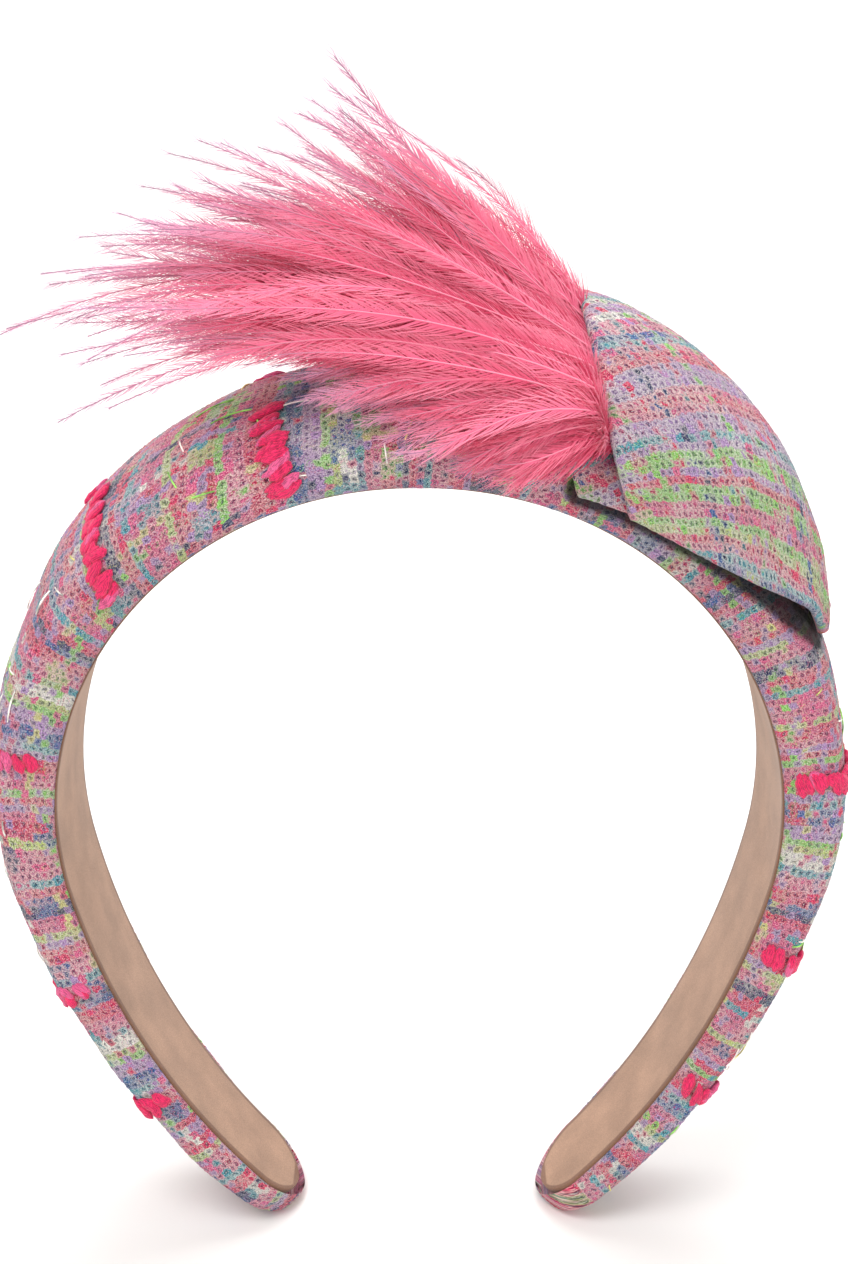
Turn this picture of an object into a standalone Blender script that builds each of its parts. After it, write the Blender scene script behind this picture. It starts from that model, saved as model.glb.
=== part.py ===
"""A padded tweed headband standing on its two ends, with a petal pouch and a feather plume.

The band is a C of three arcs. Every piece is placed by its distance along that C from the
middle of the crown, its turn round the padding from front to back, and its lift off the
surface that carries it. Lengths are metres, +Z is up, and the front faces -Y.
"""
import math

import bmesh
import bpy
from mathutils import Vector

MM = 0.001

# Inner face of the band, from the middle of the crown down to each end
CROWN_RADIUS = 65.5 * MM
CROWN_SWEEP = math.radians(54.0)
SIDE_RADIUS = 63.8 * MM
SIDE_SWEEP = math.radians(49.0)
TAIL_RADIUS = 144.6 * MM
TAIL_SWEEP = math.radians(32.3)

# Suede lining and the padding over it
LINING_THICKNESS = 1.8 * MM
LINING_CROWN_WIDTH = 39.4 * MM
LINING_END_RADIUS = 8.9 * MM
LINING_EDGE_ROUND = 0.5 * MM
PADDING_THICKNESS = 18.0 * MM
PADDING_BULGE = 2.2 * MM
PADDING_SHOULDER = 9.6 * MM
PADDING_OVERHANG = 1.8 * MM
FOOT_FLAT_DEPTH = 0.9 * MM
SEAT_GAP = 0.3 * MM

# Petal pouch: a thin under petal and a domed upper one
LOWER_PETAL_THICKNESS = 1.6 * MM
LOWER_PETAL_MOUTH = 15.0 * MM
LOWER_PETAL_SWEEP = 10.0 * MM
LOWER_PETAL_TIP = 60.0 * MM
UPPER_PETAL_MOUTH = 19.5 * MM
UPPER_PETAL_SWEEP = 14.0 * MM
UPPER_PETAL_TIP = 70.5 * MM
UPPER_PETAL_HEM_WALL = 2.0 * MM
UPPER_PETAL_CREST_WALL = 3.0 * MM
UPPER_PETAL_CREST = 11.6 * MM
PETAL_TIP_TURN = -0.55
PETAL_SETTLE_SHARE = 0.82

# Plume: where its locks start in the pouch, how far they run and how high they rise
PLUME_ROOT = 29.0 * MM
PLUME_REACH = 70.0 * MM
PLUME_RISE = 51.0 * MM
PLUME_ROOT_LIFT = 5.2 * MM
LOCK_DEPTH = 10.0 * MM
LOCK_WIDTH = 9.0 * MM
HEAD_LENGTH_SHARE = 0.48
HEAD_TURN_SHARE = 0.72
LOCK_CLEARANCE = 0.6 * MM
MOUTH_CLEARANCE = 1.5 * MM
MOUTH_FLARE = 1.5

# Mesh density
BAND_STATIONS = 76
END_STATIONS = 5
DOME_STEPS = 14
FLANK_STEPS = 3
PETAL_STEPS_ALONG = 13
PETAL_STEPS_ACROSS = 18
LOCK_STATIONS = 9
LOCK_SIDES = 8

ARCS = (
    (CROWN_RADIUS, CROWN_SWEEP),
    (SIDE_RADIUS, SIDE_SWEEP),
    (TAIL_RADIUS, TAIL_SWEEP),
)
HALF_LENGTH = sum(radius * sweep for radius, sweep in ARCS)
PADDING_BASE = LINING_THICKNESS + SEAT_GAP
LOWER_PETAL_TOP = SEAT_GAP + LOWER_PETAL_THICKNESS
POUCH_FLOOR = LOWER_PETAL_TOP + SEAT_GAP
DOME_FULLNESS = 0.8

# Sections of the band, each a share of the named size it follows
SECTION_COLUMNS = ("along", "width", "thickness", "shoulder")
SECTIONS = (
    (0.00, 1.000, 1.000, 0.54),
    (0.12, 0.945, 0.995, 0.55),
    (0.24, 0.885, 0.955, 0.74),
    (0.36, 0.830, 0.815, 0.94),
    (0.48, 0.778, 0.700, 0.92),
    (0.60, 0.715, 0.630, 0.76),
    (0.75, 0.622, 0.540, 0.60),
    (0.90, 0.528, 0.450, 0.50),
    (1.00, 0.470, 0.370, 0.42),
)

# Locks of the plume. Reach and rise are shares of the plume's, turns are shares of the
# quarter turn from the top of the padding to its shoulder, negative to the front.
LOCK_COLUMNS = ("reach", "rise", "root_turn", "tip_turn", "fullness")
LOCKS = (
    (0.36, 0.62, 0.12, 0.14, 1.00),
    (0.45, 0.80, 0.06, 0.08, 1.00),
    (0.53, 1.00, 0.02, 0.04, 0.95),
    (0.63, 0.95, -0.05, -0.02, 1.00),
    (0.74, 0.84, -0.10, -0.06, 1.00),
    (0.80, 0.76, -0.16, -0.10, 1.00),
    (0.86, 0.69, -0.22, -0.14, 1.00),
    (0.98, 0.60, -0.28, -0.20, 1.00),
    (1.00, 0.47, -0.34, -0.30, 1.00),
    (0.97, 0.35, -0.40, -0.40, 0.95),
    (0.82, 0.17, -0.46, -0.50, 0.95),
    (0.70, 0.10, -0.50, -0.72, 0.90),
    (0.52, 0.07, -0.54, -0.92, 0.80),
    (0.72, 0.66, 0.24, 0.30, 1.05),
    (0.90, 0.50, 0.30, 0.36, 1.05),
    (0.80, 0.28, 0.40, 0.50, 1.00),
    (0.60, 0.12, 0.46, 0.74, 0.90),
)


def clear_scene():
    """Removes what the scene holds, so that the part stands alone."""
    for thing in list(bpy.data.objects):
        bpy.data.objects.remove(thing, do_unlink=True)


def material(name, colour, roughness):
    """A plain finish for one kind of surface."""
    finish = bpy.data.materials.new(name)
    finish.use_nodes = True
    shader = finish.node_tree.nodes["Principled BSDF"]
    shader.inputs["Base Color"].default_value = (*colour, 1.0)
    shader.inputs["Roughness"].default_value = roughness
    shader.inputs["Metallic"].default_value = 0.0
    return finish


def mesh_object(name, points, faces, finish):
    """One closed solid, faces outwards, with smooth shading up to a sharp edge."""
    mesh = bpy.data.meshes.new(name)
    mesh.from_pydata(points, [], faces)
    solid = bmesh.new()
    solid.from_mesh(mesh)
    bmesh.ops.recalc_face_normals(solid, faces=solid.faces[:])
    solid.to_mesh(mesh)
    solid.free()
    mesh.materials.append(finish)
    mesh.shade_smooth()
    mesh.set_sharp_from_angle(angle=math.radians(40.0))
    thing = bpy.data.objects.new(name, mesh)
    bpy.context.collection.objects.link(thing)
    return thing


def curve_at(along):
    """Place and slope of the band's inner face at a distance from the middle of the crown."""
    side = -1.0 if along < 0.0 else 1.0
    rest = abs(along)
    x = z = slope = 0.0
    for radius, sweep in ARCS:
        step = rest / radius if radius == TAIL_RADIUS else min(rest / radius, sweep)
        x += radius * (math.sin(slope + step) - math.sin(slope))
        z += radius * (math.cos(slope + step) - math.cos(slope))
        slope += step
        rest -= step * radius
    return side * x, z, side * slope


def place(along, across, height):
    """Turns band coordinates into a point: height is measured off the inner face."""
    x, z, slope = curve_at(along)
    return Vector((x + height * math.sin(slope), across, z + height * math.cos(slope)))


def section_share(column, along):
    """Reads one column of the section table, eased between its rows."""
    index = SECTION_COLUMNS.index(column)
    share = min(abs(along) / HALF_LENGTH, 1.0)
    for low, high in zip(SECTIONS, SECTIONS[1:]):
        if share <= high[0]:
            blend = (share - low[0]) / (high[0] - low[0])
            return low[index] + (high[index] - low[index]) * blend
    return SECTIONS[-1][index]


def lining_half_width(along):
    return 0.5 * LINING_CROWN_WIDTH * section_share("width", along)


def padding_size(along):
    """Half width, thickness and shoulder height of the padding at one place."""
    return (
        lining_half_width(along) + PADDING_BULGE,
        PADDING_THICKNESS * section_share("thickness", along),
        PADDING_SHOULDER * section_share("shoulder", along),
    )


def end_rounding(along, end, radius):
    """Share of the width left where an end is rounded like a coin."""
    past = (abs(along) - (end - radius)) / radius
    return math.sqrt(max(1.0 - max(past, 0.0) ** 2, 0.0))


def stations(end, radius):
    """Distances along the band, closer together round both ends."""
    straight = end - radius
    middle = [straight * (2.0 * i / BAND_STATIONS - 1.0) for i in range(BAND_STATIONS + 1)]
    turn = [math.radians(84.0) * (i + 1) / END_STATIONS for i in range(END_STATIONS)]
    tail = [straight + radius * math.sin(angle) for angle in turn]
    return [-value for value in reversed(tail)] + middle + tail


def loft(name, rings, finish):
    """Skins a row of closed rings and caps both ends."""
    count = len(rings[0])
    points = [point for ring in rings for point in ring]
    faces = []
    for row in range(len(rings) - 1):
        first = row * count
        for i in range(count):
            j = (i + 1) % count
            faces.append((first + i, first + j, first + count + j, first + count + i))
    faces.append(tuple(reversed(range(count))))
    faces.append(tuple(range(len(points) - count, len(points))))
    return mesh_object(name, points, faces, finish)


def lining_ring(along):
    """Flat ribbon section with softened edges."""
    width = lining_half_width(along) * end_rounding(along, HALF_LENGTH, LINING_END_RADIUS)
    soft = min(LINING_EDGE_ROUND, 0.3 * width)
    profile = (
        (-width + soft, 0.0),
        (-width, soft),
        (-width, LINING_THICKNESS - soft),
        (-width + soft, LINING_THICKNESS),
        (width - soft, LINING_THICKNESS),
        (width, LINING_THICKNESS - soft),
        (width, soft),
        (width - soft, 0.0),
    )
    return [place(along, across, height) for across, height in profile]


def lining(finish):
    """The suede ribbon on the inside."""
    rings = [lining_ring(along) for along in stations(HALF_LENGTH, LINING_END_RADIUS)]
    return loft("lining", rings, finish)


def padding_end():
    """How far the padding runs, and the radius its end is rounded to."""
    return HALF_LENGTH + PADDING_OVERHANG, LINING_END_RADIUS + PADDING_OVERHANG


def padding_ring(along):
    """Domed section: a flat seat on the lining, a bulging flank, a shoulder and the dome."""
    reach, thickness, shoulder = padding_size(along)
    narrow = end_rounding(along, *padding_end())
    seat = lining_half_width(along) * narrow
    reach = seat + PADDING_BULGE * narrow
    flatten = 0.30 + 0.70 * narrow
    top = PADDING_BASE + (thickness - PADDING_BASE) * flatten
    edge = PADDING_BASE + (shoulder - PADDING_BASE) * flatten
    profile = []
    for i in range(FLANK_STEPS):
        angle = math.pi / 2 * (1.0 - i / FLANK_STEPS)
        profile.append((-seat - (reach - seat) * math.cos(angle),
                        edge - (edge - PADDING_BASE) * math.sin(angle)))
    for i in range(DOME_STEPS + 1):
        angle = math.pi * (i / DOME_STEPS - 0.5)
        lift = max(math.cos(angle), 0.0) ** DOME_FULLNESS
        profile.append((reach * math.sin(angle), edge + (top - edge) * lift))
    for i in range(FLANK_STEPS):
        angle = math.pi / 2 * (i + 1) / FLANK_STEPS
        profile.append((seat + (reach - seat) * math.cos(angle),
                        edge - (edge - PADDING_BASE) * math.sin(angle)))
    return [place(along, across, height) for across, height in profile]


def padded_band(finish):
    """The cloth-covered padding, with its two ends cut flat where they stand."""
    end, radius = padding_end()
    band = loft("padded_band", [padding_ring(along) for along in stations(end, radius)], finish)
    solid = bmesh.new()
    solid.from_mesh(band.data)
    floor = min(vertex.co.z for vertex in solid.verts) + FOOT_FLAT_DEPTH
    geometry = solid.verts[:] + solid.edges[:] + solid.faces[:]
    cut = bmesh.ops.bisect_plane(solid, geom=geometry, dist=1e-6, plane_co=(0.0, 0.0, floor),
                                 plane_no=(0.0, 0.0, -1.0), clear_outer=True)
    rim = [item for item in cut["geom_cut"] if isinstance(item, bmesh.types.BMEdge)]
    soles = bmesh.ops.edgeloop_fill(solid, edges=rim)
    for face in soles["faces"]:
        face.smooth = False
    bmesh.ops.recalc_face_normals(solid, faces=solid.faces[:])
    solid.to_mesh(band.data)
    solid.free()
    return band


def skin_point(along, turn, lift):
    """A point lifted off the padding; a turn of -1 is the front shoulder and 0 the top."""
    reach, thickness, shoulder = padding_size(along)
    angle = turn * math.pi / 2
    slope = max(math.cos(angle), 1e-3)
    dome = thickness - shoulder
    normal = Vector((dome * DOME_FULLNESS * slope ** (DOME_FULLNESS - 1.0) * math.sin(angle),
                     reach * slope)).normalized()
    across = reach * math.sin(angle) + lift * normal.x
    height = shoulder + dome * slope ** DOME_FULLNESS + lift * normal.y
    return place(along, across, height)


def mouth_at(mouth, sweep, turn):
    """Where a petal's mouth lies: it is swept back towards both hems."""
    return mouth + sweep * turn * turn


def petal_point(mouth, sweep, tip, u, v, lift):
    """A point of a petal: u runs from mouth to tip and v from front hem to back hem."""
    start = mouth_at(mouth, sweep, v)
    along = start + (tip - start) * u
    narrow = 1.0 - u ** 3
    turn = PETAL_TIP_TURN + (v - PETAL_TIP_TURN) * narrow
    return skin_point(along, turn, lift)


def upper_lift(u, v):
    """Lift of the upper petal's inner and outer faces: domed at the mouth, flat at the tip."""
    arch = math.cos(v * math.pi / 2) ** 1.6 if abs(v) < 1.0 else 0.0
    fall = math.cos(min(u, 1.0) * math.pi / 2) ** 1.2
    wall = UPPER_PETAL_HEM_WALL + (UPPER_PETAL_CREST_WALL - UPPER_PETAL_HEM_WALL) * arch * fall
    settle = min(max((u - PETAL_SETTLE_SHARE) / (1.0 - PETAL_SETTLE_SHARE), 0.0), 1.0)
    seat = POUCH_FLOOR + (SEAT_GAP - POUCH_FLOOR) * settle
    outer = seat + UPPER_PETAL_HEM_WALL + UPPER_PETAL_CREST * arch * fall
    return outer - wall, outer


def lower_lift(u, v):
    """Lift of the lower petal's two faces."""
    return SEAT_GAP, LOWER_PETAL_TOP


def head_lift(u, v):
    """Lift of the plume's head, which fills the pouch up to a small gap."""
    return POUCH_FLOOR, upper_lift(u, v)[0] - SEAT_GAP


def shell(name, mouth, sweep, tip, lifts, finish, length=0.97, half_turn=1.0):
    """A closed wall between two lifted grids, with a rounded rim."""
    rows, columns = PETAL_STEPS_ALONG, PETAL_STEPS_ACROSS
    points = []
    for side in (0, 1):
        for row in range(rows + 1):
            for column in range(columns + 1):
                u = length * row / rows
                v = half_turn * (2.0 * column / columns - 1.0)
                points.append(petal_point(mouth, sweep, tip, u, v, lifts(u, v)[side]))
    stride = columns + 1
    layer = (rows + 1) * stride
    faces = []
    for row in range(rows):
        for column in range(columns):
            a = row * stride + column
            corners = (a, a + 1, a + stride + 1, a + stride)
            faces.append(corners)
            faces.append(tuple(layer + i for i in reversed(corners)))
    border = [(0, column) for column in range(columns)]
    border += [(row, columns) for row in range(rows)]
    border += [(rows, column) for column in range(columns, 0, -1)]
    border += [(row, 0) for row in range(rows, 0, -1)]
    rim = []
    for row, column in border:
        index = row * stride + column
        inside = min(max(row, 1), rows - 1) * stride + min(max(column, 1), columns - 1)
        middle = (points[index] + points[layer + index]) / 2
        inner = (points[inside] + points[layer + inside]) / 2
        bulge = (points[index] - points[layer + index]).length * 0.32
        rim.append(len(points))
        points.append(middle + (middle - inner).normalized() * bulge)
    for i, (row, column) in enumerate(border):
        j = (i + 1) % len(border)
        here = row * stride + column
        there = border[j][0] * stride + border[j][1]
        faces.append((here, rim[i], rim[j], there))
        faces.append((layer + there, rim[j], rim[i], layer + here))
    return mesh_object(name, points, faces, finish)


def upper_petal(finish):
    """The domed outer layer of the pouch."""
    return shell("upper_petal", UPPER_PETAL_MOUTH, UPPER_PETAL_SWEEP, UPPER_PETAL_TIP,
                 upper_lift, finish)


def lower_petal(finish):
    """The thin layer that lies on the band under the plume."""
    return shell("lower_petal", LOWER_PETAL_MOUTH, LOWER_PETAL_SWEEP, LOWER_PETAL_TIP,
                 lower_lift, finish, length=0.94)


def pouch_ceiling(along, turn):
    """Highest lift that stays under the upper petal, opening up in front of its mouth."""
    v = min(abs(turn), 1.0)
    start = mouth_at(UPPER_PETAL_MOUTH, UPPER_PETAL_SWEEP, v)
    u = max((along - start) / (UPPER_PETAL_TIP - start), 0.0)
    opening = max(start - MOUTH_CLEARANCE - along, 0.0) * MOUTH_FLARE
    return upper_lift(u, v)[0] - LOCK_CLEARANCE + opening


def lock(name, row, finish):
    """One tapered lock of feathers, flattened where it lies close to the band or the petal."""
    values = dict(zip(LOCK_COLUMNS, row))
    rise = PLUME_RISE * values["rise"] - PLUME_ROOT_LIFT
    floor = LOWER_PETAL_TOP + LOCK_CLEARANCE
    line = []
    for i in range(LOCK_STATIONS + 1):
        t = (i / LOCK_STATIONS) ** 1.2
        along = PLUME_ROOT - PLUME_REACH * values["reach"] * t
        turn = values["root_turn"] + (values["tip_turn"] - values["root_turn"]) * t ** 0.8
        taper = math.sin(math.pi * (0.20 + 0.74 * t ** 0.9)) * values["fullness"]
        width = 0.5 * LOCK_WIDTH * taper
        edge = abs(turn) + width / (padding_size(along)[0] * math.pi / 2)
        ceiling = pouch_ceiling(along, edge)
        depth = min(0.5 * LOCK_DEPTH * taper, 0.5 * (ceiling - floor))
        lift = PLUME_ROOT_LIFT + rise * t ** 1.6
        lift = max(min(lift, ceiling - depth), floor + 0.5 * depth)
        depth = min(depth, lift - floor)
        line.append((skin_point(along, turn, lift), skin_point(along, turn, 0.0), width, depth))
    rings = []
    for i, (centre, ground, width, depth) in enumerate(line):
        ahead = line[min(i + 1, LOCK_STATIONS)][0]
        behind = line[max(i - 1, 0)][0]
        side = (ahead - behind).cross(centre - ground).normalized()
        up = side.cross(ahead - behind).normalized()
        ring = []
        for k in range(LOCK_SIDES):
            angle = 2.0 * math.pi * k / LOCK_SIDES
            ring.append(centre + up * depth * math.sin(angle) + side * width * math.cos(angle))
        rings.append(ring)
    return loft(name, rings, finish)


def plume(finish):
    """Feather locks fused to the head that is held between the petals."""
    head = shell("plume", UPPER_PETAL_MOUTH, UPPER_PETAL_SWEEP, UPPER_PETAL_TIP, head_lift,
                 finish, length=HEAD_LENGTH_SHARE, half_turn=HEAD_TURN_SHARE)
    for number, row in enumerate(LOCKS, start=1):
        piece = lock(f"plume_lock_{number}", row, finish)
        piece.hide_render = True
        piece.display_type = "WIRE"
        fuse = head.modifiers.new(f"fuse_lock_{number}", "BOOLEAN")
        fuse.operation = "UNION"
        fuse.solver = "EXACT"
        fuse.object = piece
    return head


def stand_on_origin():
    """Hangs every piece on one empty, so that the origin is at the bottom centre."""
    corners = [vertex.co for thing in bpy.data.objects for vertex in thing.data.vertices]
    lowest = Vector([min(corner[axis] for corner in corners) for axis in range(3)])
    highest = Vector([max(corner[axis] for corner in corners) for axis in range(3)])
    things = list(bpy.data.objects)
    base = bpy.data.objects.new("headband_base", None)
    bpy.context.collection.objects.link(base)
    base.location = (-(lowest.x + highest.x) / 2, -(lowest.y + highest.y) / 2, -lowest.z)
    for thing in things:
        thing.parent = base


def main():
    clear_scene()
    tweed = material("pink_tweed", (0.60, 0.33, 0.42), 0.85)
    suede = material("tan_suede", (0.50, 0.32, 0.22), 0.95)
    feather = material("coral_feather", (0.80, 0.10, 0.18), 0.70)
    lining(suede)
    padded_band(tweed)
    lower_petal(tweed)
    upper_petal(tweed)
    plume(feather)
    stand_on_origin()


main()
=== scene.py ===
"""Looks of the padded tweed headband with its petal pouch and feather plume.

Pieces are placed in band coordinates: the distance along the inner face from the middle of
the crown, the turn or distance across the band, and the height or lift off what carries it.
Lengths are metres, +Z is up and the front faces -Y.
"""
import math

import bpy
import numpy as np
from bpy.props import FloatProperty, FloatVectorProperty, IntProperty, PointerProperty
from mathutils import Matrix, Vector


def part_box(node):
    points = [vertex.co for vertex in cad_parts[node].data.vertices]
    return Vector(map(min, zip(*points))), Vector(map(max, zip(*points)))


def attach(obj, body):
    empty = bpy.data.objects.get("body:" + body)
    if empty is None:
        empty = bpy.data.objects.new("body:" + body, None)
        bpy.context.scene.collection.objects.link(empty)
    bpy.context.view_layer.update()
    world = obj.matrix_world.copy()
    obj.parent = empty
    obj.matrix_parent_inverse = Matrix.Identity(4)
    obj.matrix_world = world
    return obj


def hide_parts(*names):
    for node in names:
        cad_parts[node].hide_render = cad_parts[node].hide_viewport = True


bl_info = {
    "name": "Feather headband",
    "version": (1, 0, 0),
    "blender": (4, 5, 0),
    "location": "3D View > Sidebar > Headband",
    "description": "Builds a tweed headband with a petal pouch and a feather plume",
    "category": "Object",
}

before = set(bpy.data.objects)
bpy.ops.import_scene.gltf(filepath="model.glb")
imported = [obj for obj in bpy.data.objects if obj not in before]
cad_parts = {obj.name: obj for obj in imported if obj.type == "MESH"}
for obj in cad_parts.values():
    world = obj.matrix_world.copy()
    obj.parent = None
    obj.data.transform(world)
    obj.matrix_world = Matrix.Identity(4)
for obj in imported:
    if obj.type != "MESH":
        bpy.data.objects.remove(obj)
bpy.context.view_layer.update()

MM = 0.001

# The band's inner face, as radius and sweep from the middle of the crown down to an end
ARCS = (
    (65.5 * MM, math.radians(54.0)),
    (63.8 * MM, math.radians(49.0)),
    (144.6 * MM, math.radians(32.3)),
)
HALF_LENGTH = sum(radius * sweep for radius, sweep in ARCS)
LINING_THICKNESS = 1.8 * MM
LINING_CROWN_WIDTH = 39.4 * MM
LINING_END_RADIUS = 8.9 * MM
PADDING_THICKNESS = 18.0 * MM
PADDING_BULGE = 2.2 * MM
PADDING_SHOULDER = 9.6 * MM
PADDING_OVERHANG = 1.8 * MM
SEAT_GAP = 0.3 * MM
PADDING_BASE = LINING_THICKNESS + SEAT_GAP
# The cloth wraps down past the lining's side, this far off it and above its face
WRAP_GAP = 0.12 * MM
WRAP_HEIGHT = 0.30 * MM
DOME_FULLNESS = 0.8
# Shares of the width, thickness and shoulder height at shares of the half length
SECTIONS = np.array((
    (0.00, 1.000, 1.000, 0.54),
    (0.12, 0.945, 0.995, 0.55),
    (0.24, 0.885, 0.955, 0.74),
    (0.36, 0.830, 0.815, 0.94),
    (0.48, 0.778, 0.700, 0.92),
    (0.60, 0.715, 0.630, 0.76),
    (0.75, 0.622, 0.540, 0.60),
    (0.90, 0.528, 0.450, 0.50),
    (1.00, 0.470, 0.370, 0.42),
))
# Petals, as mouth, sweep of the mouth towards the hems, tip and share of the length kept
LOWER_PETAL = (15.0 * MM, 10.0 * MM, 60.0 * MM, 0.94)
UPPER_PETAL = (19.5 * MM, 14.0 * MM, 70.5 * MM, 0.97)
LOWER_PETAL_TOP = 1.9 * MM
POUCH_FLOOR = LOWER_PETAL_TOP + SEAT_GAP
HEM_WALL = 2.0 * MM
HEM_RISE = 1.3 * MM
CREST_WALL = 3.0 * MM
CREST = 11.6 * MM
PETAL_TIP_TURN = -0.55
PETAL_SETTLE_SHARE = 0.82
# Plume, as where its feathers start and how far and high they run
PLUME_ROOT = 29.0 * MM
PLUME_REACH = 70.0 * MM
PLUME_RISE = 51.0 * MM
# Locks at the front, from the upright ones to the low ones: reach, rise, root turn, tip turn
FRONT_LOCKS = np.array((
    (0.36, 0.50, 0.12, 0.14),
    (0.45, 0.72, 0.06, 0.08),
    (0.53, 1.00, 0.02, 0.04),
    (0.63, 0.95, -0.05, -0.02),
    (0.74, 0.84, -0.10, -0.06),
    (0.80, 0.76, -0.16, -0.10),
    (0.86, 0.73, -0.22, -0.14),
    (0.97, 0.64, -0.28, -0.20),
    (0.99, 0.51, -0.34, -0.28),
    (0.93, 0.41, -0.40, -0.36),
    (0.74, 0.29, -0.44, -0.42),
    (0.56, 0.13, -0.50, -0.64),
    (0.40, 0.09, -0.54, -0.86),
))
# The same for the body of the plume, which stays below its longest tips
BODY_LOCKS = np.concatenate((FRONT_LOCKS[:5] * (1.0, 0.84, 1.0, 1.0), FRONT_LOCKS[5:]))
# Wisps that lie low over the front of the band and the under petal
LOW_WISPS = np.array((
    (0.24, 0.06, -0.62, -0.94),
    (0.31, 0.07, -0.60, -0.95),
    (0.39, 0.08, -0.58, -0.90),
    (0.48, 0.10, -0.54, -0.80),
    (0.56, 0.13, -0.50, -0.68),
    (0.70, 0.20, -0.44, -0.48),
))
# Locks at the back, from the upright ones to the low ones
BACK_LOCKS = np.array((
    (0.53, 0.92, 0.06, 0.10),
    (0.72, 0.66, 0.24, 0.30),
    (0.90, 0.50, 0.30, 0.36),
    (0.80, 0.28, 0.40, 0.50),
    (0.60, 0.12, 0.46, 0.74),
))
# How far round a root may sit, which keeps it inside the mouth
MOUTH_TURN = -0.62
# Past the lean strands bend back, and they stray no more than this beyond it
FRONT_LEAN = -28.0 * MM
FRONT_STRAY = 4.0 * MM
# Share of a lock that the down inside it fills
DOWN_SPAN = 0.60
# Strands, from the dense ones inside to the loose ones outside: name, locks, number as a share
# of the Strands setting, range of the share of the lock's length, lightness, looseness, then
# barb spacing, slimness and how far the barbs close up towards the tip
# Lightness: inner groups are darker than outer ones, partly dye and partly painted shade inside
# the plume
STRAND_GROUPS = (
    ("plume_core_strands", BODY_LOCKS, 0.38, (0.64, 0.95), 0.00, 0.0, 0.95, 0.036, 0.30),
    ("plume_side_strands", BODY_LOCKS, 0.22, (0.76, 1.00), 0.12, 1.0, 1.00, 0.034, 0.26),
    ("plume_bright_strands", BODY_LOCKS, 0.06, (0.50, 0.80), 1.00, 1.5, 1.20, 0.034, 0.30),
    ("plume_back_strands", BACK_LOCKS, 0.20, (0.70, 1.00), 0.20, 0.3, 1.05, 0.038, 0.40),
    ("plume_loose_strands", FRONT_LOCKS, 0.10, (0.95, 1.00), 1.00, 1.2, 1.15, 0.036, 0.45),
    ("plume_low_wisps", LOW_WISPS, 0.24, (0.72, 1.00), 0.36, 0.4, 1.05, 0.036, 0.45),
)

BASE_Y = 0.5 * (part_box("padded_band")[0].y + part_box("padded_band")[1].y)
BASE_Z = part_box("lining")[1].z - LINING_THICKNESS

# Where the pink slubs cross the band, each with the repeat of the stripes that it starts
SLUB_PLACES = np.array((
    (-198, -5), (-162, -4), (-134, -3.2), (-89, -2), (-53, -1), (-21, 0),
    (6, 1), (35, 2), (64, 3), (93, 4), (127, 5), (158, 6), (190, 7),
), float)
STRIPES_IN_REPEAT = 24
# Stripes across the band over two repeats, each from one slub to the next, with the threads
# along the band below. A chart holds no more than 32 runs of equal letters.
BAND_WEFT = "HHVTBBVVLGCCTPPHHBNHPTPP" "HHVGPPNNHHTPPPPGHHPVHLPP"
BAND_WARP = "PVHCTVBPNVPLVYPV"
# Stripes of the petals from the top edge down to the tip, and threads across them
PETAL_WEFT = "VTCVVCPPBTPHHVVVPHPVVTVLLVHLLPPLGHPTBBVPHH"
PETAL_WARP = "PHPLPVPHVBNBVPTHVPLV"
# Yarns of the small blocks that interrupt the stripes
BLOCKS = "LBHTGPVN"
# The stripes slant most at one place along the band, in mm, and fall off over this far
SLANT_PLACE, SLANT_REACH = -46.0, 26.0
SLANT_MOST, SLANT_LEAST = 0.26, 0.03
# The petals' cloth is turned by an angle with this cosine and sine
GRAIN_DOWN, GRAIN_OVER = 0.82, 0.57
# Points round the padding's cloth, on its underside and along each hem of a petal
CLOTH_POINTS, UNDERSIDE_POINTS, HEM_POINTS = 108, 5, 90
# Painted shade under a hem is deepest this close to it, and gone after the fade
PAINTED_SHADE_REACH, PAINTED_SHADE_FADE = 2.5 * MM, 1.0 * MM
LOOSE_THREADS = 150
# Plies of loose yarn in one tuft
PLIES = 3
# How much of a turn leads down from the shoulder to the lining
FLANK_TURN = 0.5
# Tufts of loose yarn: distances along in mm, turns across, how many, length and width in mm
TUFTS = (
    ((-21.5, -21.0), (-1.20, -0.40), 7, 6.2, 2.5),
    ((-56.0, -48.0), (-1.24, -0.20), 8, 5.2, 2.4),
    ((-89.0, -89.0), (-1.30, -0.80), 4, 3.4, 1.9),
    ((-134.0, -135.0), (-1.28, -0.10), 5, 4.4, 2.1),
    ((-161.0, -163.0), (-1.32, 0.30), 8, 5.0, 2.3),
    ((92.0, 94.0), (-1.36, 0.15), 10, 5.0, 2.4),
    ((127.0, 128.0), (-1.34, 0.05), 8, 4.6, 2.3),
    ((158.0, 158.0), (-1.34, 0.25), 8, 5.0, 2.3),
    ((139.0, 139.0), (0.92, 1.25), 3, 4.2, 2.2),
    ((118.0, 118.0), (0.95, 1.20), 2, 3.6, 1.8),
    ((-52.0, -52.0), (0.20, 1.10), 6, 5.4, 2.1),
    ((-22.0, -22.0), (0.30, 1.10), 6, 5.8, 2.2),
    ((-110.0, -110.0), (0.90, 1.20), 2, 4.0, 2.0),
)


def linear(code):
    """Turns an sRGB hex value into the linear colour that a shader takes."""
    shares = [int(code[i:i + 2], 16) / 255.0 for i in (1, 3, 5)]
    return [s / 12.92 if s <= 0.04045 else ((s + 0.055) / 1.055) ** 2.4 for s in shares]


def colour(label, about, code):
    """A colour that can be changed in the sidebar."""
    return FloatVectorProperty(name=label, description=about, default=linear(code),
                               subtype="COLOR", min=0.0, max=1.0)


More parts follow.
